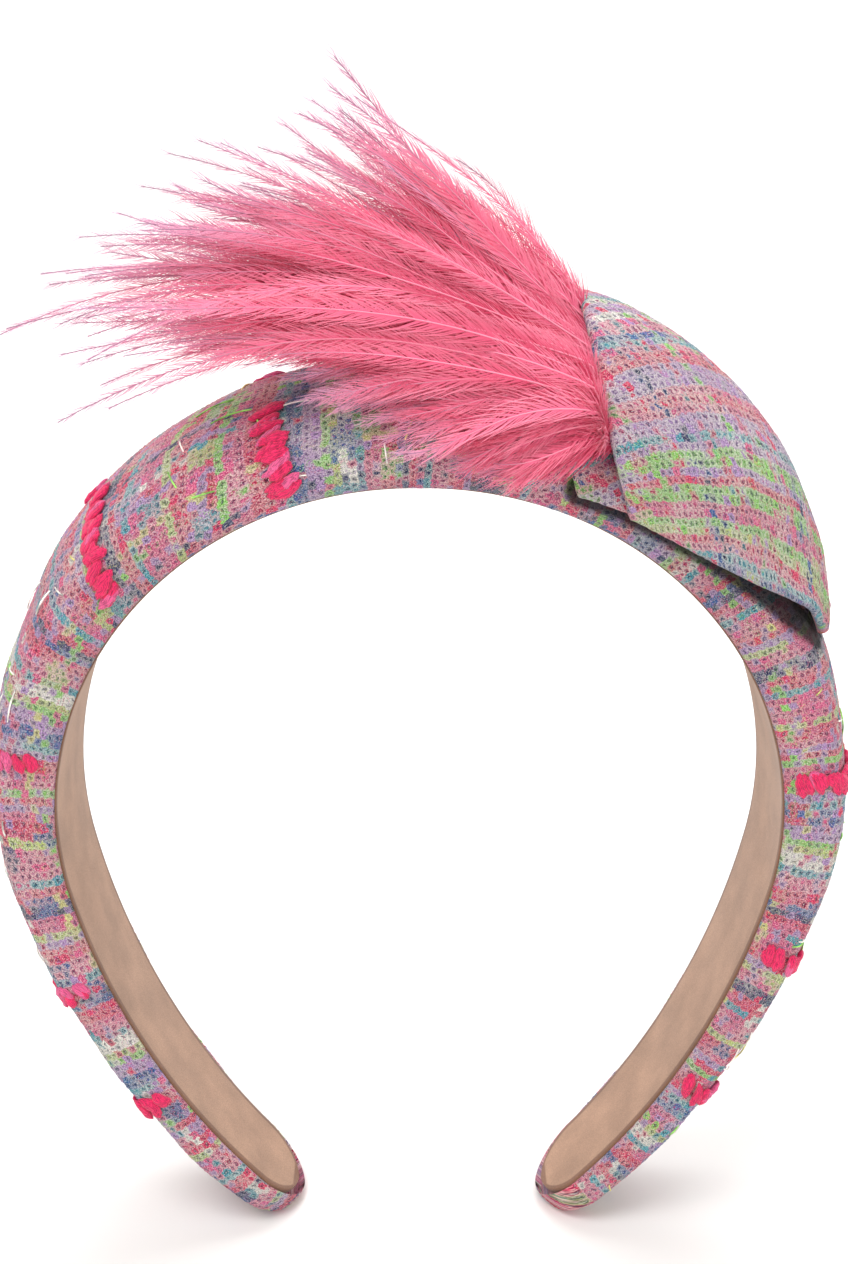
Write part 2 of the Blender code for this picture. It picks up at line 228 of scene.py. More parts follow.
class ClothSettings(bpy.types.PropertyGroup):
    """Sizes and yarn colours of the tweed and the lining."""

    stitch: FloatProperty(name="Stitch", description="Width of one stitch of the tweed",
                          default=1.25 * MM, subtype="DISTANCE", unit="LENGTH")
    relief: FloatProperty(name="Relief", description="Height of the net over its holes",
                          default=0.34 * MM, subtype="DISTANCE", unit="LENGTH")
    lumps: FloatProperty(name="Lumps", description="Unevenness of the padding under the cloth",
                         default=0.30 * MM, subtype="DISTANCE", unit="LENGTH")
    hot_pink: colour("Hot pink", "Slubs and the strongest stripes", "#EC2F66")
    pink: colour("Pink", "Soft pink yarn", "#EC6294")
    lime: colour("Lime", "Lime yarn", "#98DC68")
    leaf: colour("Leaf", "Yellow green yarn", "#CCDC84")
    turquoise: colour("Turquoise", "Turquoise yarn", "#46AABA")
    blue: colour("Blue", "Mid blue yarn", "#3A66AA")
    navy: colour("Navy", "Darkest yarn", "#3A4270")
    lilac: colour("Lilac", "Lilac yarn", "#C096CE")
    cream: colour("Cream", "Net thread over the yarns", "#FBF6EC")
    yellow: colour("Yellow", "Pale yellow yarn", "#E9E08E")
    suede: colour("Suede", "Face of the lining", "#AE8A72")
    suede_edge: colour("Suede edge", "Cut edge of the lining", "#84604C")


class PlumeSettings(bpy.types.PropertyGroup):
    """Numbers, sizes and colours of the feathers."""

    strands: IntProperty(name="Strands", description="The groups take shares of this",
                         default=380, min=20, max=800)
    barb_spacing: FloatProperty(name="Barb spacing", description="Distance between two barbs",
                                default=0.44 * MM, subtype="DISTANCE", unit="LENGTH")
    barb_length: FloatProperty(name="Barb length", description="Longest barbs of a strand",
                               default=6.6 * MM, subtype="DISTANCE", unit="LENGTH")
    barb_angle: FloatProperty(name="Barb angle", description="Between a barb and its quill",
                              default=math.radians(36.0), subtype="ANGLE", unit="ROTATION")
    highlight: colour("Highlight", "Ends of the barbs", "#FD93AD")
    body: colour("Body", "Barbs near the quill", "#F4668C")
    # Deep colours the down and is also the painted shade on strands inside the plume and at their
    # roots
    deep: colour("Deep", "Down inside the plume", "#CE1E50")
    tip: colour("Tip", "Thin ends of the strands", "#D5A8C6")
    stem: colour("Stem", "Quills near the tips", "#94708C")


class StageSettings(bpy.types.PropertyGroup):
    """Floor, light and camera."""

    floor: colour("Floor", "Floor and backdrop", "#F6F5F3")
    focal: FloatProperty(name="Focal length", description="Lens on a 36 mm sensor",
                         default=55.62, subtype="DISTANCE_CAMERA", unit="CAMERA")
    distance: FloatProperty(name="Distance", description="Camera to its target",
                            default=354.5 * MM, subtype="DISTANCE", unit="LENGTH")
    elevation: FloatProperty(name="Elevation", description="Camera above the level",
                             default=math.radians(19.7), subtype="ANGLE", unit="ROTATION")


def add(tree, kind, feeds=(), **settings):
    """Adds a node. Each feed is a value for an input, or a node or socket that is linked to it."""
    node = tree.nodes.new(kind)
    for key, value in settings.items():
        setattr(node, key, value)
    for key, value in feeds.items() if isinstance(feeds, dict) else enumerate(feeds):
        if isinstance(value, bpy.types.Node):
            value = value.outputs[0]
        if isinstance(value, bpy.types.NodeSocket):
            tree.links.new(value, node.inputs[key])
        elif value is not None:
            node.inputs[key].default_value = value
    return node


MATH, MIX, VECTOR = "ShaderNodeMath", "ShaderNodeMix", "ShaderNodeVectorMath"


def curve_at(along):
    """Place and slope of the band's inner face at distances from the middle of the crown."""
    side = np.where(along < 0.0, -1.0, 1.0)
    rest = np.abs(along)
    x = np.zeros_like(rest)
    z = np.zeros_like(rest)
    slope = np.zeros_like(rest)
    for number, (radius, sweep) in enumerate(ARCS):
        step = rest / radius
        if number < len(ARCS) - 1:
            step = np.minimum(step, sweep)
        x = x + radius * (np.sin(slope + step) - np.sin(slope))
        z = z + radius * (np.cos(slope + step) - np.cos(slope))
        slope = slope + step
        rest = rest - step * radius
    return side * x, z, side * slope


def place(along, across, height):
    """Turns band coordinates into points of the frame."""
    along, across, height = np.broadcast_arrays(np.asarray(along, float), across, height)
    x, z, slope = curve_at(along)
    return np.stack((x + height * np.sin(slope), across + BASE_Y,
                     z + height * np.cos(slope) + BASE_Z), axis=-1)


def section(along):
    """Half width of the lining, half width of the padding, its thickness and its shoulder."""
    share = np.minimum(np.abs(along) / HALF_LENGTH, 1.0)
    width, thickness, shoulder = (
        np.interp(share, SECTIONS[:, 0], SECTIONS[:, column]) for column in (1, 2, 3))
    half = 0.5 * LINING_CROWN_WIDTH * width
    return half, half + PADDING_BULGE, PADDING_THICKNESS * thickness, PADDING_SHOULDER * shoulder


def end_rounding(along, end, radius):
    """Share of the width left where an end is rounded like a coin."""
    past = np.maximum((np.abs(along) - (end - radius)) / radius, 0.0)
    return np.sqrt(np.maximum(1.0 - past ** 2, 0.0))


def skin_point(along, turn, lift):
    """Points lifted off the padding; a turn of -1 is the front shoulder and 0 the top."""
    _, reach, thickness, shoulder = section(along)
    angle = turn * math.pi / 2
    slope = np.maximum(np.cos(angle), 1e-3)
    dome = thickness - shoulder
    n_across = dome * DOME_FULLNESS * slope ** (DOME_FULLNESS - 1.0) * np.sin(angle)
    n_height = reach * slope
    size = np.hypot(n_across, n_height)
    across = reach * np.sin(angle) + lift * n_across / size
    height = shoulder + dome * slope ** DOME_FULLNESS + lift * n_height / size
    return place(along, across, height)


def cloth_point(along, turn, lift):
    """A point off the cloth, which runs down the side of the band past a turn of one."""
    past = np.clip(np.abs(turn) - 1.0, 0.0, None) / FLANK_TURN
    _, reach, _, shoulder = section(along)
    side = place(along, np.sign(turn) * (reach + lift - PADDING_BULGE * past ** 2),
                 shoulder * (1.0 - past))
    return side if past > 0.0 else skin_point(along, turn, lift)


def unit(vectors):
    """The same directions with length one."""
    return vectors / np.maximum(np.linalg.norm(vectors, axis=-1, keepdims=True), 1e-12)


def waves(rng, u, v, shortest, longest, count=14):
    """Smooth irregular swell between -1 and 1 over two coordinates in metres."""
    total = np.zeros(np.broadcast(u, v).shape)
    for _ in range(count):
        length = rng.uniform(shortest, longest)
        heading, phase = rng.uniform(0.0, 2.0 * math.pi, 2)
        total += np.sin(2.0 * math.pi * (u * math.cos(heading) + v * math.sin(heading)) / length
                        + phase)
    return total / math.sqrt(count) / 1.6


def net_relief(stripe, thread):
    """Relief of the net thread, from 0 in the middle of a hole to 1, counted in stitches."""
    column = np.floor(stripe)
    shifted = thread + 0.5 * (column % 2.0)
    row = np.floor(shifted)
    chance = np.modf(np.abs(np.sin(column * 12.99 + row * 78.23) * 43758.5))[0]
    mound = (np.cos(math.pi * (stripe - column - 0.5))
             * np.cos(math.pi * (shifted - row - 0.5)))
    return 1.0 - np.maximum(mound, 0.0) ** 0.7 * (0.55 + 0.55 * chance)


def store(mesh, name, kind, values):
    """Keeps one value for each vertex."""
    field = {"FLOAT": "value", "FLOAT_VECTOR": "vector", "FLOAT_COLOR": "color"}[kind]
    attribute = mesh.attributes.new(name, kind, "POINT")
    attribute.data.foreach_set(field, np.asarray(values, np.float32).ravel())


def new_object(name, mesh, material=None):
    """Puts a mesh in the scene, smooth and with its material."""
    if material is not None:
        mesh.materials.append(material)
    mesh.shade_smooth()
    piece = bpy.data.objects.new(name, mesh)
    bpy.context.scene.collection.objects.link(piece)
    return piece


def tube_faces(rows, columns):
    """Quads of a grid whose columns join up, with both ends closed by a flat face."""
    index = np.arange(rows * columns).reshape(rows, columns)
    ahead = np.roll(index, -1, axis=1)
    quads = np.stack((index[:-1], ahead[:-1], ahead[1:], index[1:]), axis=-1).reshape(-1, 4)
    return quads.tolist() + [index[0, ::-1].tolist(), index[-1].tolist()]


def tube(name, points, material):
    """A closed skin over rings of points, faces outwards."""
    rows, columns = points.shape[:2]
    faces = tube_faces(rows, columns)
    middle = points.mean(axis=1)
    a, b, c = points[rows // 2, 0], points[rows // 2, 1], points[rows // 2 + 1, 0]
    if np.dot(np.cross(b - a, c - a), a - middle[rows // 2]) < 0.0:
        faces = [face[::-1] for face in faces]
    mesh = bpy.data.meshes.new(name)
    mesh.from_pydata(points.reshape(-1, 3), [], faces)
    return new_object(name, mesh, material)


def rows_along(end, radius, spacing, turns):
    """Distances along the band at an even spacing, closer together round both ends."""
    straight = end - radius
    middle = np.linspace(-straight, straight, int(2.0 * straight / spacing) + 1)
    tail = straight + radius * np.sin(np.radians(np.linspace(0.0, 88.0, turns + 1)[1:]))
    return np.concatenate((-tail[::-1], middle, tail))


def padding_outline(along, fine):
    """Outline of the padding over the lining at one place, evenly spaced by its length."""
    end, radius = HALF_LENGTH + PADDING_OVERHANG, LINING_END_RADIUS + PADDING_OVERHANG
    half, _, thickness, shoulder = section(along)
    narrow = end_rounding(along, end, radius)
    seat = half * narrow
    reach = seat + PADDING_BULGE * narrow
    flatten = 0.30 + 0.70 * narrow
    top = PADDING_BASE + (thickness - PADDING_BASE) * flatten
    edge = PADDING_BASE + (shoulder - PADDING_BASE) * flatten
    flank = np.linspace(0.0, math.pi / 2, 16)[:-1]
    dome = np.linspace(-math.pi / 2, math.pi / 2, 121)
    seat = seat + WRAP_GAP
    side = np.stack((-seat - (reach - seat) * np.sin(flank),
                     edge - (edge - WRAP_HEIGHT) * np.cos(flank)), axis=-1)
    over = np.stack((reach * np.sin(dome),
                     edge + (top - edge) * np.maximum(np.cos(dome), 0.0) ** DOME_FULLNESS),
                    axis=-1)
    outline = np.concatenate((side, over, side[::-1] * (-1.0, 1.0)))
    run = np.concatenate(([0.0], np.cumsum(np.linalg.norm(np.diff(outline, axis=0), axis=1))))
    even = np.linspace(0.0, run[-1], fine)
    across = np.interp(even, run, outline[:, 0])
    height = np.interp(even, run, outline[:, 1])
    return across, height, even - 0.5 * run[-1], seat


def band_cloth(along, over, stitch, rng):
    """Stripes and threads, counted in stitches, at places on the band's cloth."""
    repeat = np.interp(along / MM, SLUB_PLACES[:, 0], SLUB_PLACES[:, 1])
    skew = SLANT_MOST * np.exp(-((along / MM - SLANT_PLACE) / SLANT_REACH) ** 2) + SLANT_LEAST
    bend = 0.4 * np.clip(np.abs(over) / (20.0 * MM), 0.0, 1.0) ** 2
    stripe = repeat * STRIPES_IN_REPEAT - skew * over / stitch + bend
    stripe = stripe + 0.32 * waves(rng, along, over, 5.0 * MM, 22.0 * MM)
    thread = over / stitch + 0.30 * waves(rng, along, over, 5.0 * MM, 22.0 * MM)
    return stripe, thread


def petal_point(petal, u, v, lift):
    """Points of a petal: u runs from mouth to tip and v from front hem to back hem."""
    mouth, sweep, tip, _ = petal
    start = mouth + sweep * v * v
    along = start + (tip - start) * u
    turn = PETAL_TIP_TURN + (v - PETAL_TIP_TURN) * (1.0 - u ** 3)
    return skin_point(along, turn, lift)


def hem_lift(u, v):
    """How far a petal's hems stand off what they lie on, which leaves a shadow under them."""
    return HEM_RISE * np.clip((np.abs(v) - 0.72) / 0.28, 0.0, 1.0) ** 2 * np.clip(
        (1.0 - u) / 0.2, 0.0, 1.0)


def upper_lift(u, v):
    """Lift of the upper petal's inner and outer faces: domed at the mouth, flat at the tip."""
    arch = np.maximum(np.cos(np.clip(v, -1.0, 1.0) * math.pi / 2), 0.0) ** 1.6
    fall = np.maximum(np.cos(np.clip(u, 0.0, 1.0) * math.pi / 2), 0.0) ** 1.2
    wall = HEM_WALL + (CREST_WALL - HEM_WALL) * arch * fall
    settle = np.clip((u - PETAL_SETTLE_SHARE) / (1.0 - PETAL_SETTLE_SHARE), 0.0, 1.0)
    outer = POUCH_FLOOR + (SEAT_GAP - POUCH_FLOOR) * settle + HEM_WALL + CREST * arch * fall
    return outer - wall, outer


def lower_lift(u, v):
    """Lift of the lower petal's two faces."""
    return np.full(np.broadcast(u, v).shape, SEAT_GAP), np.full(np.broadcast(u, v).shape,
                                                                LOWER_PETAL_TOP)


def petal_shell(name, petal, lifts, first_stripe, cloth, material, rng, rows=92, columns=100,
                rim_steps=5):
    """A padded petal: cloth on both faces, its net raised, and a rolled hem all round."""
    u = petal[3] * np.linspace(0.0, 1.0, rows + 1)[:, None]
    v = np.linspace(-1.0, 1.0, columns + 1)[None, :]
    inner_lift, outer_lift = (lift + hem_lift(u, v) for lift in lifts(u, v))
    outer = petal_point(petal, u, v, outer_lift)
    inner = petal_point(petal, u, v, inner_lift)
    run = np.cumsum(np.linalg.norm(np.diff(outer, axis=1, prepend=outer[:, :1]), axis=2), axis=1)
    over = run - run[:, columns // 2][:, None]
    start = petal[0] + petal[1] * v * v
    down = start + (petal[2] - start) * u - petal[0]
    stripe = first_stripe + (GRAIN_DOWN * down - GRAIN_OVER * over) / cloth.stitch
    thread = (GRAIN_DOWN * over + GRAIN_OVER * down) / cloth.stitch
    stripe = stripe + 0.35 * waves(rng, over, down, 6.0 * MM, 20.0 * MM)
    thread = thread + 0.30 * waves(rng, over, down, 6.0 * MM, 20.0 * MM)
    normal = unit(np.cross(np.gradient(outer, axis=0), np.gradient(outer, axis=1)))
    if np.sum((outer - inner) * normal) < 0.0:
        normal = -normal
    swell = 0.7 * cloth.lumps * waves(rng, over, down, 9.0 * MM, 24.0 * MM)
    relief = cloth.relief * (net_relief(stripe, thread) - 0.5)
    outer = outer + normal * (swell + relief)[..., None]
    border = [(0, j) for j in range(columns)] + [(i, columns) for i in range(rows)]
    border += [(rows, j) for j in range(columns, 0, -1)] + [(i, 0) for i in range(rows, 0, -1)]
    at = np.array(border)
    inside = np.clip(at, 2, (rows - 2, columns - 2))
    high, low = outer[at[:, 0], at[:, 1]], inner[at[:, 0], at[:, 1]]
    middle = 0.5 * (high + low)
    behind = 0.5 * (outer[inside[:, 0], inside[:, 1]] + inner[inside[:, 0], inside[:, 1]])
    out = unit(middle - behind) * 0.45 * np.linalg.norm(high - low, axis=1)[:, None]
    flat = np.stack((stripe, thread, np.zeros_like(stripe)), axis=-1)
    hem = flat[at[:, 0], at[:, 1]]
    wall = np.linalg.norm(high - low, axis=1)[:, None]
    pull = (hem - flat[inside[:, 0], inside[:, 1]]) / np.maximum(np.linalg.norm(
        high - outer[inside[:, 0], inside[:, 1]], axis=1), 0.2 * MM)[:, None]
    rims, turned = [], []
    for step in range(1, rim_steps + 1):
        angle = math.pi * step / (rim_steps + 1)
        rims.append(middle + 0.5 * (high - low) * math.cos(angle) + out * math.sin(angle))
        turned.append(hem + pull * 0.5 * wall * angle)
    points = np.concatenate([outer.reshape(-1, 3), inner.reshape(-1, 3), *rims])
    count = (rows + 1) * (columns + 1)
    index = np.arange(count).reshape(rows + 1, columns + 1)
    quads = np.stack((index[:-1, :-1], index[:-1, 1:], index[1:, 1:], index[1:, :-1]),
                     axis=-1).reshape(-1, 4)
    edge = index[at[:, 0], at[:, 1]]
    loops = [edge, *(2 * count + step * len(edge) + np.arange(len(edge))
                     for step in range(rim_steps)), edge + count]
    rim = [np.stack((near, far, np.roll(far, -1), np.roll(near, -1)), axis=-1)
           for near, far in zip(loops, loops[1:])]
    faces = np.concatenate((quads, quads[:, ::-1] + count, *rim))
    mesh = bpy.data.meshes.new(name)
    a, b, _, d = (outer.reshape(-1, 3)[k] for k in quads[len(quads) // 2])
    outwards = np.dot(np.cross(b - a, d - a), normal.reshape(-1, 3)[quads[len(quads) // 2][0]])
    mesh.from_pydata(points, [], faces.tolist() if outwards > 0.0 else faces[:, ::-1].tolist())
    flat = flat.reshape(-1, 3)
    store(mesh, "cloth", "FLOAT_VECTOR", np.concatenate([flat, flat, *turned]))
    return new_object(name, mesh, material)


def finished(name, modified, material):
    """Turns an object with a node modifier into a plain mesh and takes the source away."""
    depsgraph = bpy.context.evaluated_depsgraph_get()
    mesh = bpy.data.meshes.new_from_object(modified.evaluated_get(depsgraph))
    mesh.name = name
    source = modified.data
    modified.modifiers.clear()
    bpy.data.objects.remove(modified, do_unlink=True)
    bpy.data.meshes.remove(source)
    if not len(mesh.materials):
        mesh.materials.append(material)
    piece = bpy.data.objects.new(name, mesh)
    bpy.context.scene.collection.objects.link(piece)
    return piece


def grow(name, tree, points, edges, fields, values, material):
    """Runs a geometry tree over points and edges that carry named fields."""
    mesh = bpy.data.meshes.new(name + "_source")
    mesh.from_pydata(points, edges, [])
    for key, (kind, data) in fields.items():
        store(mesh, key, kind, data)
    source = bpy.data.objects.new(name + "_source", mesh)
    bpy.context.scene.collection.objects.link(source)
    modifier = source.modifiers.new(name, "NODES")
    modifier.node_group = tree
    sockets = {item.name: item.identifier for item in tree.interface.items_tree
               if item.in_out == "INPUT"}
    for key, value in {**values, "Material": material}.items():
        modifier[sockets[key]] = value
    return finished(name, source, material)


def tree_with_inputs(name, inputs):
    """A geometry tree with named inputs, its input node and its output node."""
    tree = bpy.data.node_groups.new(name, "GeometryNodeTree")
    tree.interface.new_socket("Geometry", in_out="INPUT", socket_type="NodeSocketGeometry")
    for label, kind, default in inputs:
        socket = tree.interface.new_socket(label, in_out="INPUT", socket_type=kind)
        if default is not None:
            socket.default_value = default
    tree.interface.new_socket("Material", in_out="INPUT", socket_type="NodeSocketMaterial")
    tree.interface.new_socket("Geometry", in_out="OUTPUT", socket_type="NodeSocketGeometry")
    return tree, add(tree, "NodeGroupInput"), add(tree, "NodeGroupOutput")


def end_tree(tree, geometry, given, result):
    """Makes a tree's geometry smooth, gives it the material and hands the tree back."""
    smooth = add(tree, "GeometryNodeSetShadeSmooth", (geometry,))
    painted = add(tree, "GeometryNodeSetMaterial",
                  {"Geometry": smooth, "Material": given.outputs["Material"]})
    tree.links.new(painted.outputs[0], result.inputs[0])
    return tree


def feather_tree():
    """Grows a quill and two rows of barbs on every strand, fewer and wider than real ones."""
    tree, given, result = tree_with_inputs("feather strands", (
        ("Barb spacing", "NodeSocketFloat", 0.5 * MM),
        ("Barb angle", "NodeSocketFloat", 0.5),
        ("Barb slimness", "NodeSocketFloat", 0.035),
        ("Barb bend", "NodeSocketFloat", 0.16),
        ("Barb closing", "NodeSocketFloat", 0.4),
        ("Seed", "NodeSocketInt", 3),
    ))
    curve = add(tree, "GeometryNodeMeshToCurve", (given.outputs["Geometry"],))
    fine = add(tree, "GeometryNodeResampleCurve",
               {"Curve": curve, "Length": given.outputs["Barb spacing"]}, mode="LENGTH")
    tangent = add(tree, "GeometryNodeInputTangent")
    side = add(tree, "GeometryNodeInputNamedAttribute", ("side",), data_type="FLOAT_VECTOR")
    vane = add(tree, "GeometryNodeInputNamedAttribute", ("vane",), data_type="FLOAT")
    quill = add(tree, "GeometryNodeInputNamedAttribute", ("quill",), data_type="FLOAT")
    gone = add(tree, "GeometryNodeInputNamedAttribute", ("run",), data_type="FLOAT")
    # Barbs lean closer to the quill and stand further apart towards the tip
    closed = add(tree, MATH, (gone, given.outputs["Barb closing"]), operation="MULTIPLY")
    closing = add(tree, MATH, (add(tree, MATH, (1.0, closed), operation="SUBTRACT"),
                               given.outputs["Barb angle"]), operation="MULTIPLY")
    kept = add(tree, MATH, (gone, -0.42, 1.0), operation="MULTIPLY_ADD")
    # One barb: a flat strip of length one that thins and bends towards the strand's tip
    strip = add(tree, "GeometryNodeMeshGrid",
                {0: 1.0, 1: given.outputs["Barb slimness"], 2: 3, 3: 2})
    spot = add(tree, "ShaderNodeSeparateXYZ", (add(tree, "GeometryNodeInputPosition"),))
    run = add(tree, MATH, (spot.outputs["X"], 0.5), operation="ADD")
    thin = add(tree, MATH, (run, -0.8, 1.0), operation="MULTIPLY_ADD")
    bend = add(tree, MATH, (add(tree, MATH, (run, 2.0), operation="POWER"),
                            given.outputs["Barb bend"]), operation="MULTIPLY")
    slim = add(tree, MATH, (spot.outputs["Y"], thin), operation="MULTIPLY")
    shaped = add(tree, "GeometryNodeSetPosition", {
        "Geometry": strip,
        "Position": add(tree, "ShaderNodeCombineXYZ", (
            run, add(tree, MATH, (slim, bend), operation="SUBTRACT"),
            add(tree, MATH, (bend, 0.5), operation="MULTIPLY")))})
    barb = add(tree, "GeometryNodeStoreNamedAttribute",
               {"Geometry": shaped, "Name": "barb",
                "Value": add(tree, "ShaderNodeSeparateXYZ",
                             (add(tree, "GeometryNodeInputPosition"),))},
               data_type="FLOAT", domain="POINT")
    normal = add(tree, VECTOR, (tangent, side), operation="CROSS_PRODUCT")
    parts = []
    for number, sign in enumerate((1.0, -1.0)):
        sway = add(tree, "FunctionNodeRandomValue",
                   {2: -0.08, 3: 0.08, 8: given.outputs["Seed"]})
        lean = add(tree, MATH, (closing, sway.outputs[1]), operation="ADD")
        draw = add(tree, "FunctionNodeRandomValue", {2: 0.0, 3: 1.0, 8: 31 + number})
        outward = add(tree, VECTOR, {0: side, 3: add(tree, MATH, (
            add(tree, MATH, (lean,), operation="SINE"), sign), operation="MULTIPLY")},
            operation="SCALE")
        forward = add(tree, VECTOR, {0: tangent, 3: add(tree, MATH, (lean,),
                                                        operation="COSINE")},
                      operation="SCALE")
        heading = add(tree, VECTOR, (outward, forward), operation="ADD")
        ruffle = add(tree, "FunctionNodeRandomValue",
                     {0: (-0.06, -0.06, -0.06), 1: (0.06, 0.06, 0.06), 8: 11 + number},
                     data_type="FLOAT_VECTOR")
        length = add(tree, "FunctionNodeRandomValue", {2: 0.78, 3: 1.12, 8: 21 + number})
        parts.append(add(tree, "GeometryNodeInstanceOnPoints", {
            "Points": fine,
            "Selection": add(tree, MATH, (draw.outputs[1], kept), operation="LESS_THAN"),
            "Instance": barb,
            "Rotation": add(tree, "FunctionNodeAxesToRotation", (
                add(tree, VECTOR, (heading, ruffle.outputs[0]), operation="ADD"),
                add(tree, VECTOR, {0: normal, 3: sign}, operation="SCALE")),
                primary_axis="X", secondary_axis="Z"),
            "Scale": add(tree, MATH, (vane, length.outputs[1]), operation="MULTIPLY"),
        }))
    coarse = add(tree, "GeometryNodeResampleCurve", {"Curve": curve, "Count": 22}, mode="COUNT")
    ring = add(tree, "GeometryNodeCurvePrimitiveCircle", {"Resolution": 4, "Radius": 1.0})
    stem = add(tree, "GeometryNodeCurveToMesh",
               {"Curve": coarse, "Profile Curve": ring, "Scale": quill, "Fill Caps": True})
    marked = add(tree, "GeometryNodeStoreNamedAttribute",
                 {"Geometry": stem, "Name": "barb", "Value": -1.0},
                 data_type="FLOAT", domain="POINT")
    joined = add(tree, "GeometryNodeJoinGeometry")
    for part in (marked, *parts):
        tree.links.new(part.outputs[0], joined.inputs[0])
    real = add(tree, "GeometryNodeRealizeInstances", (joined,))
    return end_tree(tree, real, given, result)


def slub_tree():
    """Puts a soft spindle of loose yarn on every point."""
    tree, given, result = tree_with_inputs("yarn slubs", (
        ("Unevenness", "NodeSocketFloat", 0.16),
    ))
    line = add(tree, "GeometryNodeCurvePrimitiveLine",
               {"Start": (-0.5, 0.0, 0.0), "End": (0.5, 0.0, 0.0)})
    even = add(tree, "GeometryNodeResampleCurve", {"Curve": line, "Count": 11}, mode="COUNT")
    factor = add(tree, "GeometryNodeSplineParameter")
    swell = add(tree, MATH, (add(tree, MATH, (factor, math.pi), operation="MULTIPLY"),),
                operation="SINE")
    girth = add(tree, MATH, (add(tree, MATH, (swell, 0.5), operation="POWER"), 0.5, 0.03),
                operation="MULTIPLY_ADD")
    ring = add(tree, "GeometryNodeCurvePrimitiveCircle", {"Resolution": 9, "Radius": 1.0})
    spindle = add(tree, "GeometryNodeCurveToMesh",
                  {"Curve": even, "Profile Curve": ring, "Scale": girth, "Fill Caps": True})
    spindle = add(tree, "GeometryNodeStoreNamedAttribute",
                  {"Geometry": spindle, "Name": "spin",
                   "Value": add(tree, "GeometryNodeInputPosition")},
                  data_type="FLOAT_VECTOR", domain="POINT")
    heading = add(tree, "GeometryNodeInputNamedAttribute", ("heading",),
                  data_type="FLOAT_VECTOR")
    lift = add(tree, "GeometryNodeInputNamedAttribute", ("lift",), data_type="FLOAT_VECTOR")
    size = add(tree, "GeometryNodeInputNamedAttribute", ("size",), data_type="FLOAT_VECTOR")
    puffs = add(tree, "GeometryNodeInstanceOnPoints", {
        "Points": given.outputs["Geometry"],
        "Instance": spindle,
        "Rotation": add(tree, "FunctionNodeAxesToRotation", (heading, lift),
                        primary_axis="X", secondary_axis="Z"),
        "Scale": size,
    })
    real = add(tree, "GeometryNodeRealizeInstances", (puffs,))
    noise = add(tree, "ShaderNodeTexNoise", {"Scale": 700.0, "Detail": 1.0})
    centred = add(tree, VECTOR, (noise.outputs["Color"], (0.5, 0.5, 0.5)),
                  operation="SUBTRACT")
    amount = add(tree, MATH, (given.outputs["Unevenness"], 4.0 * MM), operation="MULTIPLY")
    rough = add(tree, "GeometryNodeSetPosition", {
        "Geometry": real,
        "Offset": add(tree, VECTOR, {0: centred, 3: amount}, operation="SCALE")})
    return end_tree(tree, rough, given, result)


def thread_tree():
    """Gives every drawn line the round section of a thread."""
    tree, given, result = tree_with_inputs("loose threads", (
        ("Radius", "NodeSocketFloat", 0.16 * MM),
    ))
    curve = add(tree, "GeometryNodeMeshToCurve", (given.outputs["Geometry"],))
    ring = add(tree, "GeometryNodeCurvePrimitiveCircle",
               {"Resolution": 6, "Radius": given.outputs["Radius"]})
    body = add(tree, "GeometryNodeCurveToMesh",
               {"Curve": curve, "Profile Curve": ring, "Fill Caps": True})
    real = add(tree, "GeometryNodeRealizeInstances", (body,))
    return end_tree(tree, real, given, result)


def new_material(name, roughness, sheen=0.0, specular=0.5):
    """A shader with the values that are the same all over the surface."""
    material = bpy.data.materials.new(name)
    material.use_nodes = True
    shader = material.node_tree.nodes["Principled BSDF"]
    shader.inputs["Roughness"].default_value = roughness
    shader.inputs["Specular IOR Level"].default_value = specular
    shader.inputs["Sheen Weight"].default_value = sheen
    return material, material.node_tree, shader


def chart(ramp, letters, cloth):
    """Fills a colour ramp with steps of yarn, a step for each run of equal letters."""
    yarn = {"H": cloth.hot_pink, "P": cloth.pink, "L": cloth.lime, "G": cloth.leaf,
            "T": cloth.turquoise, "B": cloth.blue, "N": cloth.navy, "V": cloth.lilac,
            "C": cloth.cream, "Y": cloth.yellow}
    ramp.interpolation = "CONSTANT"
    starts = [n for n, letter in enumerate(letters) if n == 0 or letter != letters[n - 1]]
    while len(ramp.elements) < len(starts):
        ramp.elements.new(1.0)
    for number, start in enumerate(starts):
        ramp.elements[number].position = start / len(letters)
        ramp.elements[number].color = (*yarn[letters[start]], 1.0)


